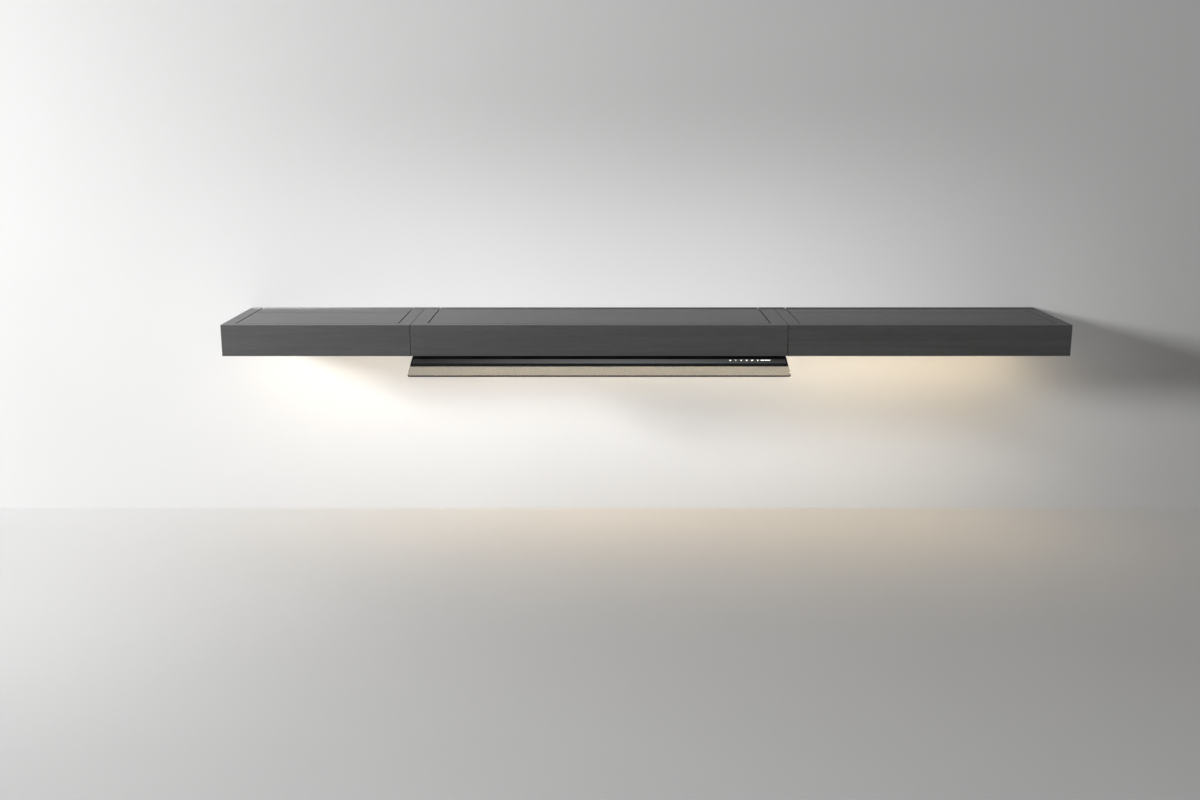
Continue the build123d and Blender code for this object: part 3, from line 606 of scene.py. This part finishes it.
@dataclass(frozen=True)
class Lit(Finish):
    """Surface lit from behind: an opal diffuser, a light source or a touch symbol."""

    colour: Colour = (1.0, 0.76, 0.44)
    strength: float = 6.0
    cloud: float = 0.40
    opal: Colour = (0.82, 0.80, 0.76)

    def shader(self, g: Graph) -> Node:
        """Add the finish's nodes.

        Args:
            g: The material's graph.

        Returns:
            The shader.
        """
        cloud = g.noise((22.0, 60.0, 60.0), 2.0)
        glow = g.blend(cloud * self.cloud, self.colour, scaled(self.colour, 0.8))
        return g.principled(
            Base_Color=self.opal,
            Roughness=0.42 + cloud * 0.1,
            Emission_Color=glow,
            Emission_Strength=self.strength,
        )


@dataclass(frozen=True)
class Rubber(Finish):
    """Matt elastomer with a dusty bloom."""

    colour: Colour = (0.018, 0.018, 0.018)

    def shader(self, g: Graph) -> Node:
        """Add the finish's nodes.

        Args:
            g: The material's graph.

        Returns:
            The shader.
        """
        bloom = g.noise(55.0, 4.0, 0.65)
        grit = g.noise(1800.0, 1.0)
        return g.principled(
            Base_Color=g.blend(bloom * 0.5, self.colour, (0.07, 0.07, 0.068)),
            Roughness=0.68 + bloom * 0.2,
            Normal=g.bump(grit, 0.03 * MILLIMETRE),
        )


@dataclass(frozen=True)
class Circuit(Finish):
    """Circuit board: solder mask with fine tracks and bright pads."""

    mask: Colour = (0.012, 0.085, 0.040)
    track: Colour = (0.030, 0.170, 0.080)
    pad: Colour = (0.60, 0.60, 0.58)
    tracks: float = 500.0

    def shader(self, g: Graph) -> Node:
        """Add the finish's nodes.

        Args:
            g: The material's graph.

        Returns:
            The shader.
        """
        x, _, _ = g.axes(g.place)
        tracks = g.math("PINGPONG", x * self.tracks, 1.0).step(0.62, 0.74)
        runs = g.noise((30.0, 220.0, 220.0), 1.0).step(0.48, 0.52)
        pads = g.cells(g.place, 320.0).step(0.93, 0.94)
        colour = g.blend(tracks * runs, self.mask, self.track)
        return g.principled(
            Base_Color=g.blend(pads, colour, self.pad),
            Metallic=pads,
            Roughness=0.30 + runs * 0.12,
            Normal=g.bump(tracks * runs, 0.04 * MILLIMETRE),
        )


# Meshes


@dataclass(frozen=True)
class Slope:
    """Plane of the visor: x across, then along the slope and square to it."""

    angle: float = math.radians(16.0)
    origin: Triple = (0.0, -0.380, -0.058909)

    def matrix(self) -> Matrix:
        """Map from the slope's own directions to the shared frame."""
        return Matrix.Translation(self.origin) @ Matrix.Rotation(self.angle, 4, "X")


class Workshop:
    """Makes new pieces from bmesh shapes and gives them their body and finish."""

    MERGE_DISTANCE = 1e-7
    SMOOTH_ANGLE = math.radians(32.0)

    def __init__(self) -> None:
        """Start with no materials."""
        self.finishes: dict[str, Material] = {}

    def finish(self, name: str, maker: Finish) -> Material:
        """Build the material of a finish and keep it under its name."""
        self.finishes[name] = maker.make(name)
        return self.finishes[name]

    def dress(self, nodes: Sequence[str], material: Material) -> None:
        """Give CAD nodes a material.

        Args:
            nodes: Names of the nodes.
            material: Their material.
        """
        for name in nodes:
            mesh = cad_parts[name].data
            mesh.materials.clear()
            mesh.materials.append(material)
            log.info("%s dressed as %s", name, material.name)

    def piece(self, name: str, shape: Mesh, body: str, slot: str, material: Material) -> None:
        """Turn a shape into a piece of the object.

        Args:
            name: The piece's name.
            shape: Its mesh, already in the shared frame; it is freed here.
            body: The body it rides on.
            slot: The record's material slot; it is not used.
            material: Its finish.
        """
        bmesh.ops.remove_doubles(shape, verts=shape.verts, dist=self.MERGE_DISTANCE)
        bmesh.ops.recalc_face_normals(shape, faces=shape.faces)
        for edge in shape.edges:
            edge.smooth = not edge.is_manifold or edge.calc_face_angle(0.0) < self.SMOOTH_ANGLE
        for face in shape.faces:
            face.smooth = True
        mesh = bpy.data.meshes.new(name)
        shape.to_mesh(mesh)
        shape.free()
        made = add_object(name, mesh)
        mesh.materials.append(material)
        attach(made, body)
        log.info("%s built: %d faces", name, len(mesh.polygons))

    def screw_heads(self, name: str, heads: Mesh) -> None:
        """Turn screw heads into a bright steel piece of the shelf."""
        self.piece(name, heads, "shelf", "bright_steel", self.finishes["bright_steel"])


class Shapes:
    """Small solids made with bmesh operators."""

    FULL_TURN = math.tau - 1e-6
    SOFTENED_STEPS = 2
    HEAD_SIDES = 20
    HEAD_STEPS = 3
    HEAD_ROUNDING = 0.42
    RECESS_RIM = 0.16
    RECESS_DEPTH = 0.45
    RECESS_TAPER = 0.72
    DOME_SIDES = 14
    DOME_RINGS = 8
    DOME_HEIGHT = 0.45

    @staticmethod
    def join(target: Mesh, part: Mesh, place: Matrix) -> None:
        """Move a part into place and add it to a solid.

        Args:
            target: Mesh that gets it.
            part: The part; it is freed here.
            place: Map into the shared frame.
        """
        bmesh.ops.transform(part, matrix=place, verts=part.verts)
        carrier = bpy.data.meshes.new("carrier")
        part.to_mesh(carrier)
        part.free()
        target.from_mesh(carrier)
        bpy.data.meshes.remove(carrier)

    @staticmethod
    def slab(target: Mesh, low: Vector, high: Vector, round_by: float, place: Matrix) -> None:
        """Add a box with softened edges.

        Args:
            target: Mesh that gets the box.
            low: Lowest corner before placing.
            high: Highest corner before placing.
            round_by: Width of the softened edge.
            place: Map into the shared frame.
        """
        size = high - low
        made = bmesh.ops.create_cube(
            target, size=1.0,
            matrix=Matrix.Translation((low + high) / 2) @ Matrix.Diagonal((*size, 1.0)),
        )
        edges = list({e for v in made["verts"] for e in v.link_edges})
        rounded = bmesh.ops.bevel(
            target, geom=edges, offset=round_by, offset_type="OFFSET",
            segments=Shapes.SOFTENED_STEPS, profile=0.5, affect="EDGES", material=-1,
            clamp_overlap=True,
        )
        verts = {v for f in rounded["faces"] for v in f.verts}
        verts |= {v for v in made["verts"] if v.is_valid}
        bmesh.ops.transform(target, matrix=place, verts=list(verts))

    @staticmethod
    def ring(inner: float, outer: float, start: float, sweep: float, steps: int) -> Mesh:
        """Flat ring or part of one round the origin.

        Args:
            inner: Inner radius.
            outer: Outer radius.
            start: Angle at which it starts.
            sweep: Angle that it covers.
            steps: Number of flats.

        Returns:
            The flat mesh.
        """
        flat = bmesh.new()
        turn = Matrix.Rotation(start, 3, "Z")
        ends = [flat.verts.new(turn @ Vector((r, 0.0, 0.0))) for r in (inner, outer)]
        edge = flat.edges.new(ends)
        bmesh.ops.spin(
            flat, geom=[*ends, edge], cent=(0, 0, 0), axis=(0, 0, 1), angle=sweep, steps=steps,
            use_merge=sweep >= Shapes.FULL_TURN, use_normal_flip=False, use_duplicate=False,
        )
        return flat

    @staticmethod
    def bar(start: Pair, end: Pair, width: float) -> Mesh:
        """Flat bar between two points of the plane.

        Args:
            start: Middle of its first end.
            end: Middle of its second end.
            width: Its width.

        Returns:
            The flat mesh.
        """
        flat = bmesh.new()
        first, last = Vector((*start, 0.0)), Vector((*end, 0.0))
        run = last - first
        scale = Matrix.Diagonal((run.length, width, 1.0, 1.0))
        turn = Matrix.Rotation(math.atan2(run.y, run.x), 4, "Z")
        place = Matrix.Translation((first + last) / 2) @ turn @ scale
        bmesh.ops.create_grid(flat, x_segments=1, y_segments=1, size=0.5, matrix=place)
        return flat

    @staticmethod
    def add_flat(target: Mesh, flat: Mesh, thickness: float, place: Matrix) -> None:
        """Thicken a flat mesh upwards and add it to a solid.

        Args:
            target: Mesh that gets it.
            flat: The flat mesh; it is freed here.
            thickness: Its thickness.
            place: Map into the shared frame.
        """
        bmesh.ops.recalc_face_normals(flat, faces=flat.faces)
        base = list(flat.faces)
        raised = bmesh.ops.extrude_face_region(flat, geom=base, use_keep_orig=True)
        verts = [v for v in raised["geom"] if isinstance(v, bmesh.types.BMVert)]
        bmesh.ops.translate(flat, vec=(0, 0, thickness), verts=verts)
        bmesh.ops.recalc_face_normals(flat, faces=flat.faces)
        Shapes.join(target, flat, place)

    @staticmethod
    def pan_head(target: Mesh, radius: float, height: float, place: Matrix) -> None:
        """Add a pan-head screw's head with a round drive recess.

        Args:
            target: Mesh that gets the head.
            radius: Radius of the head.
            height: Height of the head.
            place: Map whose Z axis points out of the surface.
        """
        head = bmesh.new()
        bmesh.ops.create_cone(
            head, cap_ends=True, segments=Shapes.HEAD_SIDES, radius1=radius, radius2=radius,
            depth=height, matrix=Matrix.Translation((0, 0, height / 2)),
        )
        rim = [e for e in head.edges if all(v.co.z > height / 2 for v in e.verts)]
        bmesh.ops.bevel(
            head, geom=rim, offset=height * Shapes.HEAD_ROUNDING, offset_type="OFFSET",
            segments=Shapes.HEAD_STEPS, profile=0.5, affect="EDGES", material=-1,
        )
        crown = max(head.faces, key=lambda f: (round(f.calc_center_median().z, 6), len(f.verts)))
        bmesh.ops.inset_region(head, faces=[crown], thickness=radius * Shapes.RECESS_RIM)
        sunk = bmesh.ops.extrude_discrete_faces(head, faces=[crown])["faces"]
        floor = list({v for f in sunk for v in f.verts})
        bmesh.ops.translate(head, vec=(0, 0, -height * Shapes.RECESS_DEPTH), verts=floor)
        bmesh.ops.scale(head, vec=(Shapes.RECESS_TAPER, Shapes.RECESS_TAPER, 1.0), verts=floor)
        Shapes.join(target, head, place)

    @staticmethod
    def rivet(target: Mesh, radius: float, place: Matrix) -> None:
        """Add a domed rivet head.

        Args:
            target: Mesh that gets the head.
            radius: Radius of the head.
            place: Map whose Z axis points out of the surface.
        """
        flatten = Matrix.Diagonal((1.0, 1.0, Shapes.DOME_HEIGHT, 1.0))
        verts = bmesh.ops.create_uvsphere(
            target, u_segments=Shapes.DOME_SIDES, v_segments=Shapes.DOME_RINGS, radius=radius
        )["verts"]
        faces = list({f for v in verts for f in v.link_faces})
        edges = list({e for v in verts for e in v.link_edges})
        cut = bmesh.ops.bisect_plane(
            target, geom=[*verts, *edges, *faces], plane_co=(0, 0, 0), plane_no=(0, 0, 1),
            clear_inner=True,
        )
        left = list({v for v in cut["geom"] if isinstance(v, bmesh.types.BMVert)})
        bmesh.ops.transform(target, matrix=place @ flatten, verts=left)


def on_surface(point: Triple, out: Triple) -> Matrix:
    """Map that puts a fastener at a point, with its Z axis along the outward direction."""
    turn = Vector(out).to_track_quat("Z", "Y").to_matrix().to_4x4()
    return Matrix.Translation(Vector(point)) @ turn


# Sub-assemblies


@dataclass
class Timber:
    """Stained cases, panels, covers and lid, with the battens inside."""

    shop: Workshop
    shifts: dict[str, float] = field(
        default_factory=lambda: {
            "left_case": 0.0, "hood_case": 7.3, "right_case": 15.1, "left_panel": 21.7,
            "right_panel": 28.9, "left_cover": 33.3, "right_cover": 41.9, "hood_lid": 52.4,
        }
    )

    def dress(self) -> None:
        """Give each board its own stretch of veneer."""
        for node, shift in self.shifts.items():
            self.shop.dress([node], self.shop.finish("oak_" + node, Oak(shift=shift)))
        self.shop.dress(["left_battens", "right_battens"], self.shop.finish("planed_wood", RawWood()))


@dataclass
class Chassis:
    """Sheet-steel shell, wall fittings and their screws."""

    shop: Workshop
    screw_radius: float = 3.6 * MILLIMETRE
    screw_height: float = 2.0 * MILLIMETRE
    back_face: float = -10.8 * MILLIMETRE
    edge_rows: Pair = (-44.0 * MILLIMETRE, 24.0 * MILLIMETRE)
    row_ends: float = 0.560
    row_count: int = 9
    duct_half: float = 0.130
    slope: Slope = Slope()
    underside: float = -50.0 * MILLIMETRE
    side_screw_x: float = 0.5875
    side_screw_rows: tuple[float, ...] = (-0.185, -0.125, -0.062)
    box_screw_radius: float = 2.6 * MILLIMETRE
    box_screw_height: float = 1.6 * MILLIMETRE
    power_box_corners: tuple[Pair, Pair] = ((0.208, 0.054), (0.412, 0.134))
    power_box_top: float = 50.9 * MILLIMETRE
    driver_corners: tuple[Pair, Pair] = ((0.013, 0.054), (0.147, 0.098))
    driver_top: float = 45.9 * MILLIMETRE

    def dress(self) -> None:
        """Give the steel and plastic nodes their finishes."""
        shop = self.shop
        black = shop.finish("black_coat", Coated())
        zinc = shop.finish("zinc_plate", Sheet(spangle=0.35, roughness=0.38, grain=Grain.NONE))
        anodised = shop.finish("anodised_light", Sheet(colour=(0.70, 0.70, 0.71), roughness=0.30))
        moulded = shop.finish("black_moulding", Moulded())
        rubber = shop.finish("black_rubber", Rubber())
        steel = shop.finish("bright_steel", Sheet(colour=(0.58, 0.58, 0.60), roughness=0.26))
        shop.dress(["left_cheek", "right_cheek", "intake_tray", "pocket_ceiling", "visor_carriage"],
                   black)
        shop.dress(
            ["back_plate", "front_angle", "left_wall_rail", "right_wall_rail", "hook_brackets",
             "left_bracket", "right_bracket", "fan_plate", "light_driver"], zinc)
        shop.dress(["left_guide", "right_guide", "left_light_channel", "right_light_channel",
                    "hood_light_channel"], anodised)
        shop.dress(["outlet_box", "outlet_collar", "power_box", "mains_gland", "bar_end_caps"], moulded)
        shop.dress(["guide_stops", "fan_bushes"], rubber)
        shop.dress(["module_bolts", "levelling_screws", "damper_pin", "motor_shaft"], steel)
        shop.dress(["guide_shoes"], shop.finish("nylon", Moulded(colour=(0.70, 0.68, 0.62))))

    def back_screws(self) -> None:
        """Screws that hold the back plate to the shell, with none above the duct."""
        heads = bmesh.new()
        for z in self.edge_rows:
            for i in range(self.row_count):
                x = -self.row_ends + 2 * self.row_ends * i / (self.row_count - 1)
                if z < 0 or abs(x) > self.duct_half:
                    place = on_surface((x, self.back_face, z), (0, 1, 0))
                    Shapes.pan_head(heads, self.screw_radius, self.screw_height, place)
        self.shop.screw_heads("back_screws", heads)

    def tray_screws(self) -> None:
        """Screws that hold the intake tray's sides to the cheeks."""
        heads = bmesh.new()
        for x in (-self.side_screw_x, self.side_screw_x):
            for y in self.side_screw_rows:
                place = on_surface((x, y, self.underside), (0, 0, -1))
                Shapes.pan_head(heads, self.screw_radius, self.screw_height, place)
        self.shop.screw_heads("tray_screws", heads)

    def box_screws(self) -> None:
        """Small screws in the lids of the power box and the light driver."""
        heads = bmesh.new()
        lids = ((self.power_box_corners, self.power_box_top), (self.driver_corners, self.driver_top))
        for corners, height in lids:
            for x in (corners[0][0], corners[1][0]):
                for along in (corners[0][1], corners[1][1]):
                    place = self.slope.matrix() @ Matrix.Translation((x, along, height))
                    Shapes.pan_head(heads, self.box_screw_radius, self.box_screw_height, place)
        self.shop.screw_heads("box_screws", heads)


@dataclass
class Fan:
    """Spiral housing, wheel, motor and damper."""

    shop: Workshop
    centre: Pair = (-0.200, -0.097)
    bush_offset: float = 39.6 * MILLIMETRE
    plate_top: float = 31.5 * MILLIMETRE
    washer_hole: float = 2.2 * MILLIMETRE
    washer_radius: float = 6.0 * MILLIMETRE
    washer_thickness: float = 1.0 * MILLIMETRE
    washer_flats: int = 24
    screw_radius: float = 4.0 * MILLIMETRE
    screw_height: float = 2.4 * MILLIMETRE

    def dress(self) -> None:
        """Give the fan's nodes their finishes."""
        shop = self.shop
        housing = shop.finish("fan_housing", Moulded(colour=(0.035, 0.036, 0.038), roughness=0.5))
        wheel = shop.finish("wheel_plastic", Moulded(colour=(0.045, 0.045, 0.046), roughness=0.38))
        shop.dress(["volute_base", "volute_cover", "inlet_ring"], housing)
        shop.dress(["impeller", "damper_flap"], wheel)
        cast = Sheet(colour=(0.52, 0.52, 0.53), roughness=0.48, grain=Grain.NONE)
        shop.dress(["motor"], shop.finish("cast_motor", cast))

    def screws(self) -> None:
        """Screws and washers over the rubber bushes, on top of the fan plate."""
        heads = bmesh.new()
        for side_x in (-1, 1):
            for side_y in (-1, 1):
                x = self.centre[0] + side_x * self.bush_offset
                y = self.centre[1] + side_y * self.bush_offset
                washer = Shapes.ring(
                    self.washer_hole, self.washer_radius, 0.0, math.tau, self.washer_flats
                )
                place = Matrix.Translation((x, y, self.plate_top))
                Shapes.add_flat(heads, washer, self.washer_thickness, place)
                over = Matrix.Translation((x, y, self.plate_top + self.washer_thickness))
                Shapes.pan_head(heads, self.screw_radius, self.screw_height, over)
        self.shop.screw_heads("fan_screws", heads)


@dataclass
class Filters:
    """Three baffle filters in satin stainless steel, with their magnets."""

    shop: Workshop
    centres: tuple[float, ...] = (-0.390, 0.0, 0.390)
    half_width: float = 0.180
    front: float = -0.1975
    depth: float = 0.148
    rim: float = 0.009
    underside: float = -0.050
    rivet_radius: float = 1.9 * MILLIMETRE

    def dress(self) -> None:
        """Give the filters and magnets their finishes."""
        shop = self.shop
        satin = shop.finish("satin_stainless", Sheet(colour=(0.60, 0.60, 0.61), roughness=0.30))
        shop.dress(["filter_left", "filter_middle", "filter_right"], satin)
        nickel = Sheet(colour=(0.66, 0.65, 0.62), roughness=0.18, grain=Grain.NONE)
        shop.dress(["filter_magnets"], shop.finish("nickel", nickel))

    def rivets(self) -> None:
        """Rivets at the corners of each filter's frame."""
        for name, middle in zip(("left", "middle", "right"), self.centres):
            heads = bmesh.new()
            for side in (-1, 0, 1):
                for y in (self.front + self.rim / 2, self.front + self.depth - self.rim / 2):
                    # The front rim has no rivet in its middle.
                    if side == 0 and y < self.front + self.depth / 2:
                        continue
                    x = middle + side * (self.half_width - self.rim / 2)
                    Shapes.rivet(heads, self.rivet_radius, on_surface((x, y, self.underside), (0, 0, -1)))
            self.shop.piece(name + "_filter_rivets", heads, name + "_filter", "filter_steel",
                            self.shop.finishes["satin_stainless"])


@dataclass
class Lights:
    """Light channels' diffusers and tapes."""

    shop: Workshop
    strength: float = 47.0
    left_share: float = 0.6
    tape_share: float = 0.1

    def dress(self) -> None:
        """Light the diffusers, the left one dimmer, and the tapes behind them."""
        groups = (
            ("opal_lit", 1.0, ["right_diffuser", "hood_diffuser"]),
            ("opal_dimmed", self.left_share, ["left_diffuser"]),
            ("tape_lit", self.tape_share, ["led_tapes"]),
        )
        for name, share, nodes in groups:
            self.shop.dress(nodes, self.shop.finish(name, Lit(strength=self.strength * share)))


class Symbol(Enum):
    """Touch symbols in their order from the left."""

    POWER = "power"
    SLOWER = "slower"
    FASTER = "faster"
    BOOST = "boost"
    TIMER = "timer"
    LIGHT = "light"


@dataclass
class Visor:
    """Glass, control panel, bar and touch field with its lit symbols."""

    shop: Workshop
    slope: Slope = Slope()
    field_ends: float = 0.5915
    field_front: float = -0.0315
    field_back: float = -2.0 * MILLIMETRE
    film: float = 0.25 * MILLIMETRE
    film_edge: float = 0.15 * MILLIMETRE
    ink: float = 0.12 * MILLIMETRE
    line: float = 0.85 * MILLIMETRE
    first_key: float = 0.4165
    key_pitch: float = 0.01745
    key_row: float = -0.0100
    key_radius: float = 2.4 * MILLIMETRE
    level_start: float = 0.5125
    level_end: float = 0.5440
    level_depth: float = 1.35 * MILLIMETRE
    level_bars: int = 5
    level_fill: float = 0.82
    symbol_light: Lit = Lit(colour=(1.0, 0.98, 0.95), strength=5.5, cloud=0.08)

    def dress(self) -> None:
        """Give the visor's CAD nodes their finishes."""
        shop = self.shop
        shop.dress(["visor_glass"], shop.finish("smoked_glass", SmokedGlass()))
        shop.dress(["control_panel"], shop.finish("black_glass", BlackGlass()))
        satin = Coated(colour=(0.016, 0.016, 0.016), roughness=0.34, peel=0.02 * MILLIMETRE)
        shop.dress(["control_bar"], shop.finish("satin_black", satin))
        shop.dress(["touch_board"], shop.finish("circuit", Circuit()))

    def touch_field(self) -> None:
        """Satin film let into the control panel."""
        shape = bmesh.new()
        Shapes.slab(
            shape,
            Vector((-self.field_ends, self.field_front, -self.film)),
            Vector((self.field_ends, self.field_back, self.film)),
            self.film_edge,
            self.slope.matrix(),
        )
        satin = self.shop.finish("touch_film", TouchFilm())
        self.shop.piece("touch_field", shape, "visor", "black_panel", satin)

    def symbols(self) -> None:
        """Lit symbols and the level bars beside them."""
        shape = bmesh.new()
        for i, symbol in enumerate(Symbol):
            x = self.first_key + i * self.key_pitch
            place = self.slope.matrix() @ Matrix.Translation((x, self.key_row, self.film))
            for flat in self.drawn(symbol):
                Shapes.add_flat(shape, flat, self.ink, place)
        place = self.slope.matrix() @ Matrix.Translation((0, self.key_row, self.film))
        pitch = (self.level_end - self.level_start) / self.level_bars
        for i in range(self.level_bars):
            x = self.level_start + (i + 0.5) * pitch
            flat = Shapes.bar((x, -self.level_depth / 2),
                              (x, self.level_depth / 2), pitch * self.level_fill)
            Shapes.add_flat(shape, flat, self.ink, place)
        lit = self.shop.finish("symbol_lit", self.symbol_light)
        self.shop.piece("touch_symbols", shape, "visor", "opal", lit)

    def drawn(self, symbol: Symbol) -> list[Mesh]:
        """Flat strokes of one symbol round the origin.

        Args:
            symbol: Which symbol.

        Returns:
            Its strokes.
        """
        r, w = self.key_radius, self.line
        quarter = math.pi / 2
        if symbol is Symbol.POWER:
            return [
                Shapes.ring(r - w, r, quarter + 0.6, math.tau - 1.2, 20),
                Shapes.bar((0, 0.1 * r), (0, 1.15 * r), w),
            ]
        if symbol is Symbol.SLOWER:
            return [Shapes.bar((-r, 0), (r, 0), w * 1.2)]
        if symbol is Symbol.FASTER:
            return [
                Shapes.bar((-r, 0), (r, 0), w * 1.2),
                Shapes.bar((0, -r), (0, -w * 0.6), w * 1.2),
                Shapes.bar((0, w * 0.6), (0, r), w * 1.2),
            ]
        if symbol is Symbol.BOOST:
            strokes = [Shapes.ring(0.0, w * 0.8, 0.0, math.tau, 12)]
            for i in range(3):
                petal = Shapes.ring(r * 0.32, r * 0.72, -0.4, 2.0, 8)
                turn = Matrix.Rotation(math.tau * i / 3, 4, "Z")
                out = turn @ Matrix.Translation((r * 0.42, 0, 0))
                bmesh.ops.transform(petal, matrix=out, verts=petal.verts)
                strokes.append(petal)
            return strokes
        if symbol is Symbol.TIMER:
            return [
                Shapes.ring(r - w, r, 0.0, math.tau, 24),
                Shapes.bar((0, 0), (0, 0.62 * r), w * 0.8),
                Shapes.bar((0, 0), (0.5 * r, 0), w * 0.8),
            ]
        return [
            Shapes.ring(r * 0.72 - w, r * 0.72, -1.0, math.pi + 2.0, 20),
            Shapes.bar((-r * 0.38, -0.75 * r), (r * 0.38, -0.75 * r), w),
            Shapes.bar((-r * 0.25, -1.1 * r), (r * 0.25, -1.1 * r), w * 0.8),
        ]


# Studio


@dataclass(frozen=True)
class Lamp:
    """A soft rectangular lamp."""

    name: str
    place: Triple
    target: Triple
    size: Pair
    watts: float

    def hang(self) -> None:
        """Add the lamp to the scene, turned to its target."""
        light = bpy.data.lights.new(self.name, "AREA")
        light.shape = "RECTANGLE"
        light.size, light.size_y = self.size
        light.energy = self.watts
        made = add_object(self.name, light)
        made.location = self.place
        aim = Vector(self.target) - Vector(self.place)
        made.rotation_euler = aim.to_track_quat("-Z", "Y").to_euler()


@dataclass
class Studio:
    """Camera, lamps, pale floor and the wall behind the shelf."""

    reach: float = 6.0
    floor_height: float = -0.675
    wall_gap: float = 0.6 * MILLIMETRE
    floor_paint: Colour = (0.50, 0.50, 0.50)
    wall_paint: Colour = (0.55, 0.55, 0.548)
    plaster_shade: float = 0.955
    near: Pair = (0.03, 0.06)
    ambient: float = 0.19
    fade_start: Triple = (2.3, 2.0, 1.3)
    fade_length: float = 1.5
    rear_fade: float = 0.5
    wall_painted_light: float = 0.35
    painted_light_centre: Pair = (0.05, -0.14)
    painted_light_width: Pair = (0.3, 2.1)
    painted_light_height: Pair = (0.1, 0.95)
    camera_place: Triple = (0.0, -4.367, 0.7022)
    camera_tip: float = math.radians(90.0 - 12.656)
    camera_turn: float = -0.000637
    lens: float = 38.21
    sensor_width: float = 36.0
    lamps: tuple[Lamp, ...] = (
        Lamp("window", (-6.0, -3.5, 1.78), (0.0, -0.2, 0.0), (1.1, 1.1), 600.0),
        Lamp("left_side", (-2.1, -1.35, 0.3), (-1.1, -0.3, 0.0), (0.6, 0.6), 4.5),
        Lamp("fill", (0.2, -4.4, 0.6), (0.0, -0.2, 0.0), (2.6, 1.2), 14.0),
        Lamp("behind", (-2.3, 2.2, 1.5), (-0.4, -0.1, 0.0), (2.4, 1.2), 60.0),
        Lamp("behind_low", (-1.0, 2.8, -0.25), (0.0, 0.0, 0.0), (3.2, 0.8), 70.0),
    )

    def paint(self, name: str, colour: Colour, glow: float) -> Material:
        """Pale paint that shows only from its front and to the camera, mirrors and glass.

        Args:
            name: The material's name.
            colour: The paint's colour.
            glow: Painted light, an extra brightness behind the shelf, for the camera, mirrors and glass
                alone.

        Returns:
            The material.
        """
        material = bpy.data.materials.new(name)
        g = Graph(material)
        x, y, z = g.axes(g.place)
        fade = 1.0 - y.step(0.0, self.rear_fade)
        for part, start in zip((x, y, z), self.fade_start):
            fade = (1.0 - abs(part).step(start, start + self.fade_length)) * fade
        far = g.ray("Ray Length").step(*self.near)
        seen = g.ray("Is Camera Ray").larger(g.ray("Is Transmission Ray"))
        seen = seen.larger(g.ray("Is Glossy Ray") * far)
        back = g.signal("ShaderNodeNewGeometry", "Backfacing")
        shown = seen.larger(g.ray("Is Diffuse Ray")) * (1.0 - back) * fade
        # Painted light: a pool of extra brightness on the wall round the shelf, seen only by the camera,
        # mirrors and glass.
        painted_light_pool = 1.0 - abs(x - self.painted_light_centre[0]).step(*self.painted_light_width)
        painted_light_pool = painted_light_pool * (1.0 - abs(z - self.painted_light_centre[1]).step(*self.painted_light_height))
        plaster = g.noise(2.4, 5.0, 0.6)
        matt = g.principled(
            Base_Color=g.blend(plaster, colour, scaled(colour, self.plaster_shade)),
            Roughness=1.0,
            Specular_IOR_Level=0.0,
            Emission_Strength=1.0,
            Emission_Color=g.blend(painted_light_pool * seen * glow, (0, 0, 0), (1, 1, 1)),
        )
        g.output(g.mix(shown, g.node("ShaderNodeBsdfTransparent"), matt))
        return material

    def sheet(self, name: str, place: Matrix, paint: Material) -> None:
        """Add one flat sheet of the studio.

        Args:
            name: The sheet's name.
            place: Map from its own plane to the shared frame.
            paint: Its material.
        """
        shape = bmesh.new()
        bmesh.ops.create_grid(shape, x_segments=1, y_segments=1, size=self.reach, matrix=place)
        mesh = bpy.data.meshes.new(name)
        shape.to_mesh(mesh)
        shape.free()
        mesh.materials.append(paint)
        add_object(name, mesh)

    def surroundings(self) -> None:
        """Floor and wall."""
        floor = Matrix.Translation((0, 0, self.floor_height))
        upright = Matrix.Rotation(math.pi / 2, 4, "X")
        wall = Matrix.Translation((0, self.wall_gap, self.floor_height + self.reach)) @ upright
        self.sheet("floor", floor, self.paint("floor_paint", self.floor_paint, 0.0))
        self.sheet("wall", wall, self.paint("wall_paint", self.wall_paint, self.wall_painted_light))

    def air(self) -> None:
        """White surroundings that are bright to the camera and dim as light."""
        world = bpy.data.worlds.new("studio_air")
        bpy.context.scene.world = world
        g = Graph(world)
        seen = g.ray("Is Camera Ray").larger(g.ray("Is Transmission Ray"))
        level = seen * (1.0 - self.ambient) + self.ambient
        air = g.node("ShaderNodeBackground", inputs={"Strength": level})
        g.node("ShaderNodeOutputWorld", inputs={"Surface": air})

    def camera(self) -> None:
        """Camera where the photographer's stood, tipped down instead of shifted."""
        lens = bpy.data.cameras.new("camera")
        lens.sensor_width = self.sensor_width
        lens.lens = self.lens
        made = add_object("camera", lens)
        made.location = self.camera_place
        made.rotation_euler = (self.camera_tip, 0.0, self.camera_turn)
        bpy.context.scene.camera = made


def main() -> None:
    """Build the studio and dress the hood, piece by piece."""
    logging.basicConfig(level=logging.INFO, format="%(name)s: %(message)s")
    bpy.context.scene.view_settings.view_transform = "Standard"
    studio = Studio()
    studio.camera()
    studio.surroundings()
    studio.air()
    for lamp in studio.lamps:
        lamp.hang()
    shop = Workshop()
    Timber(shop).dress()
    chassis = Chassis(shop)
    chassis.dress()
    chassis.back_screws()
    chassis.tray_screws()
    chassis.box_screws()
    fan = Fan(shop)
    fan.dress()
    fan.screws()
    filters = Filters(shop)
    filters.dress()
    filters.rivets()
    Lights(shop).dress()
    visor = Visor(shop)
    visor.dress()
    visor.touch_field()
    visor.symbols()


if __name__ == "__main__":
    main()
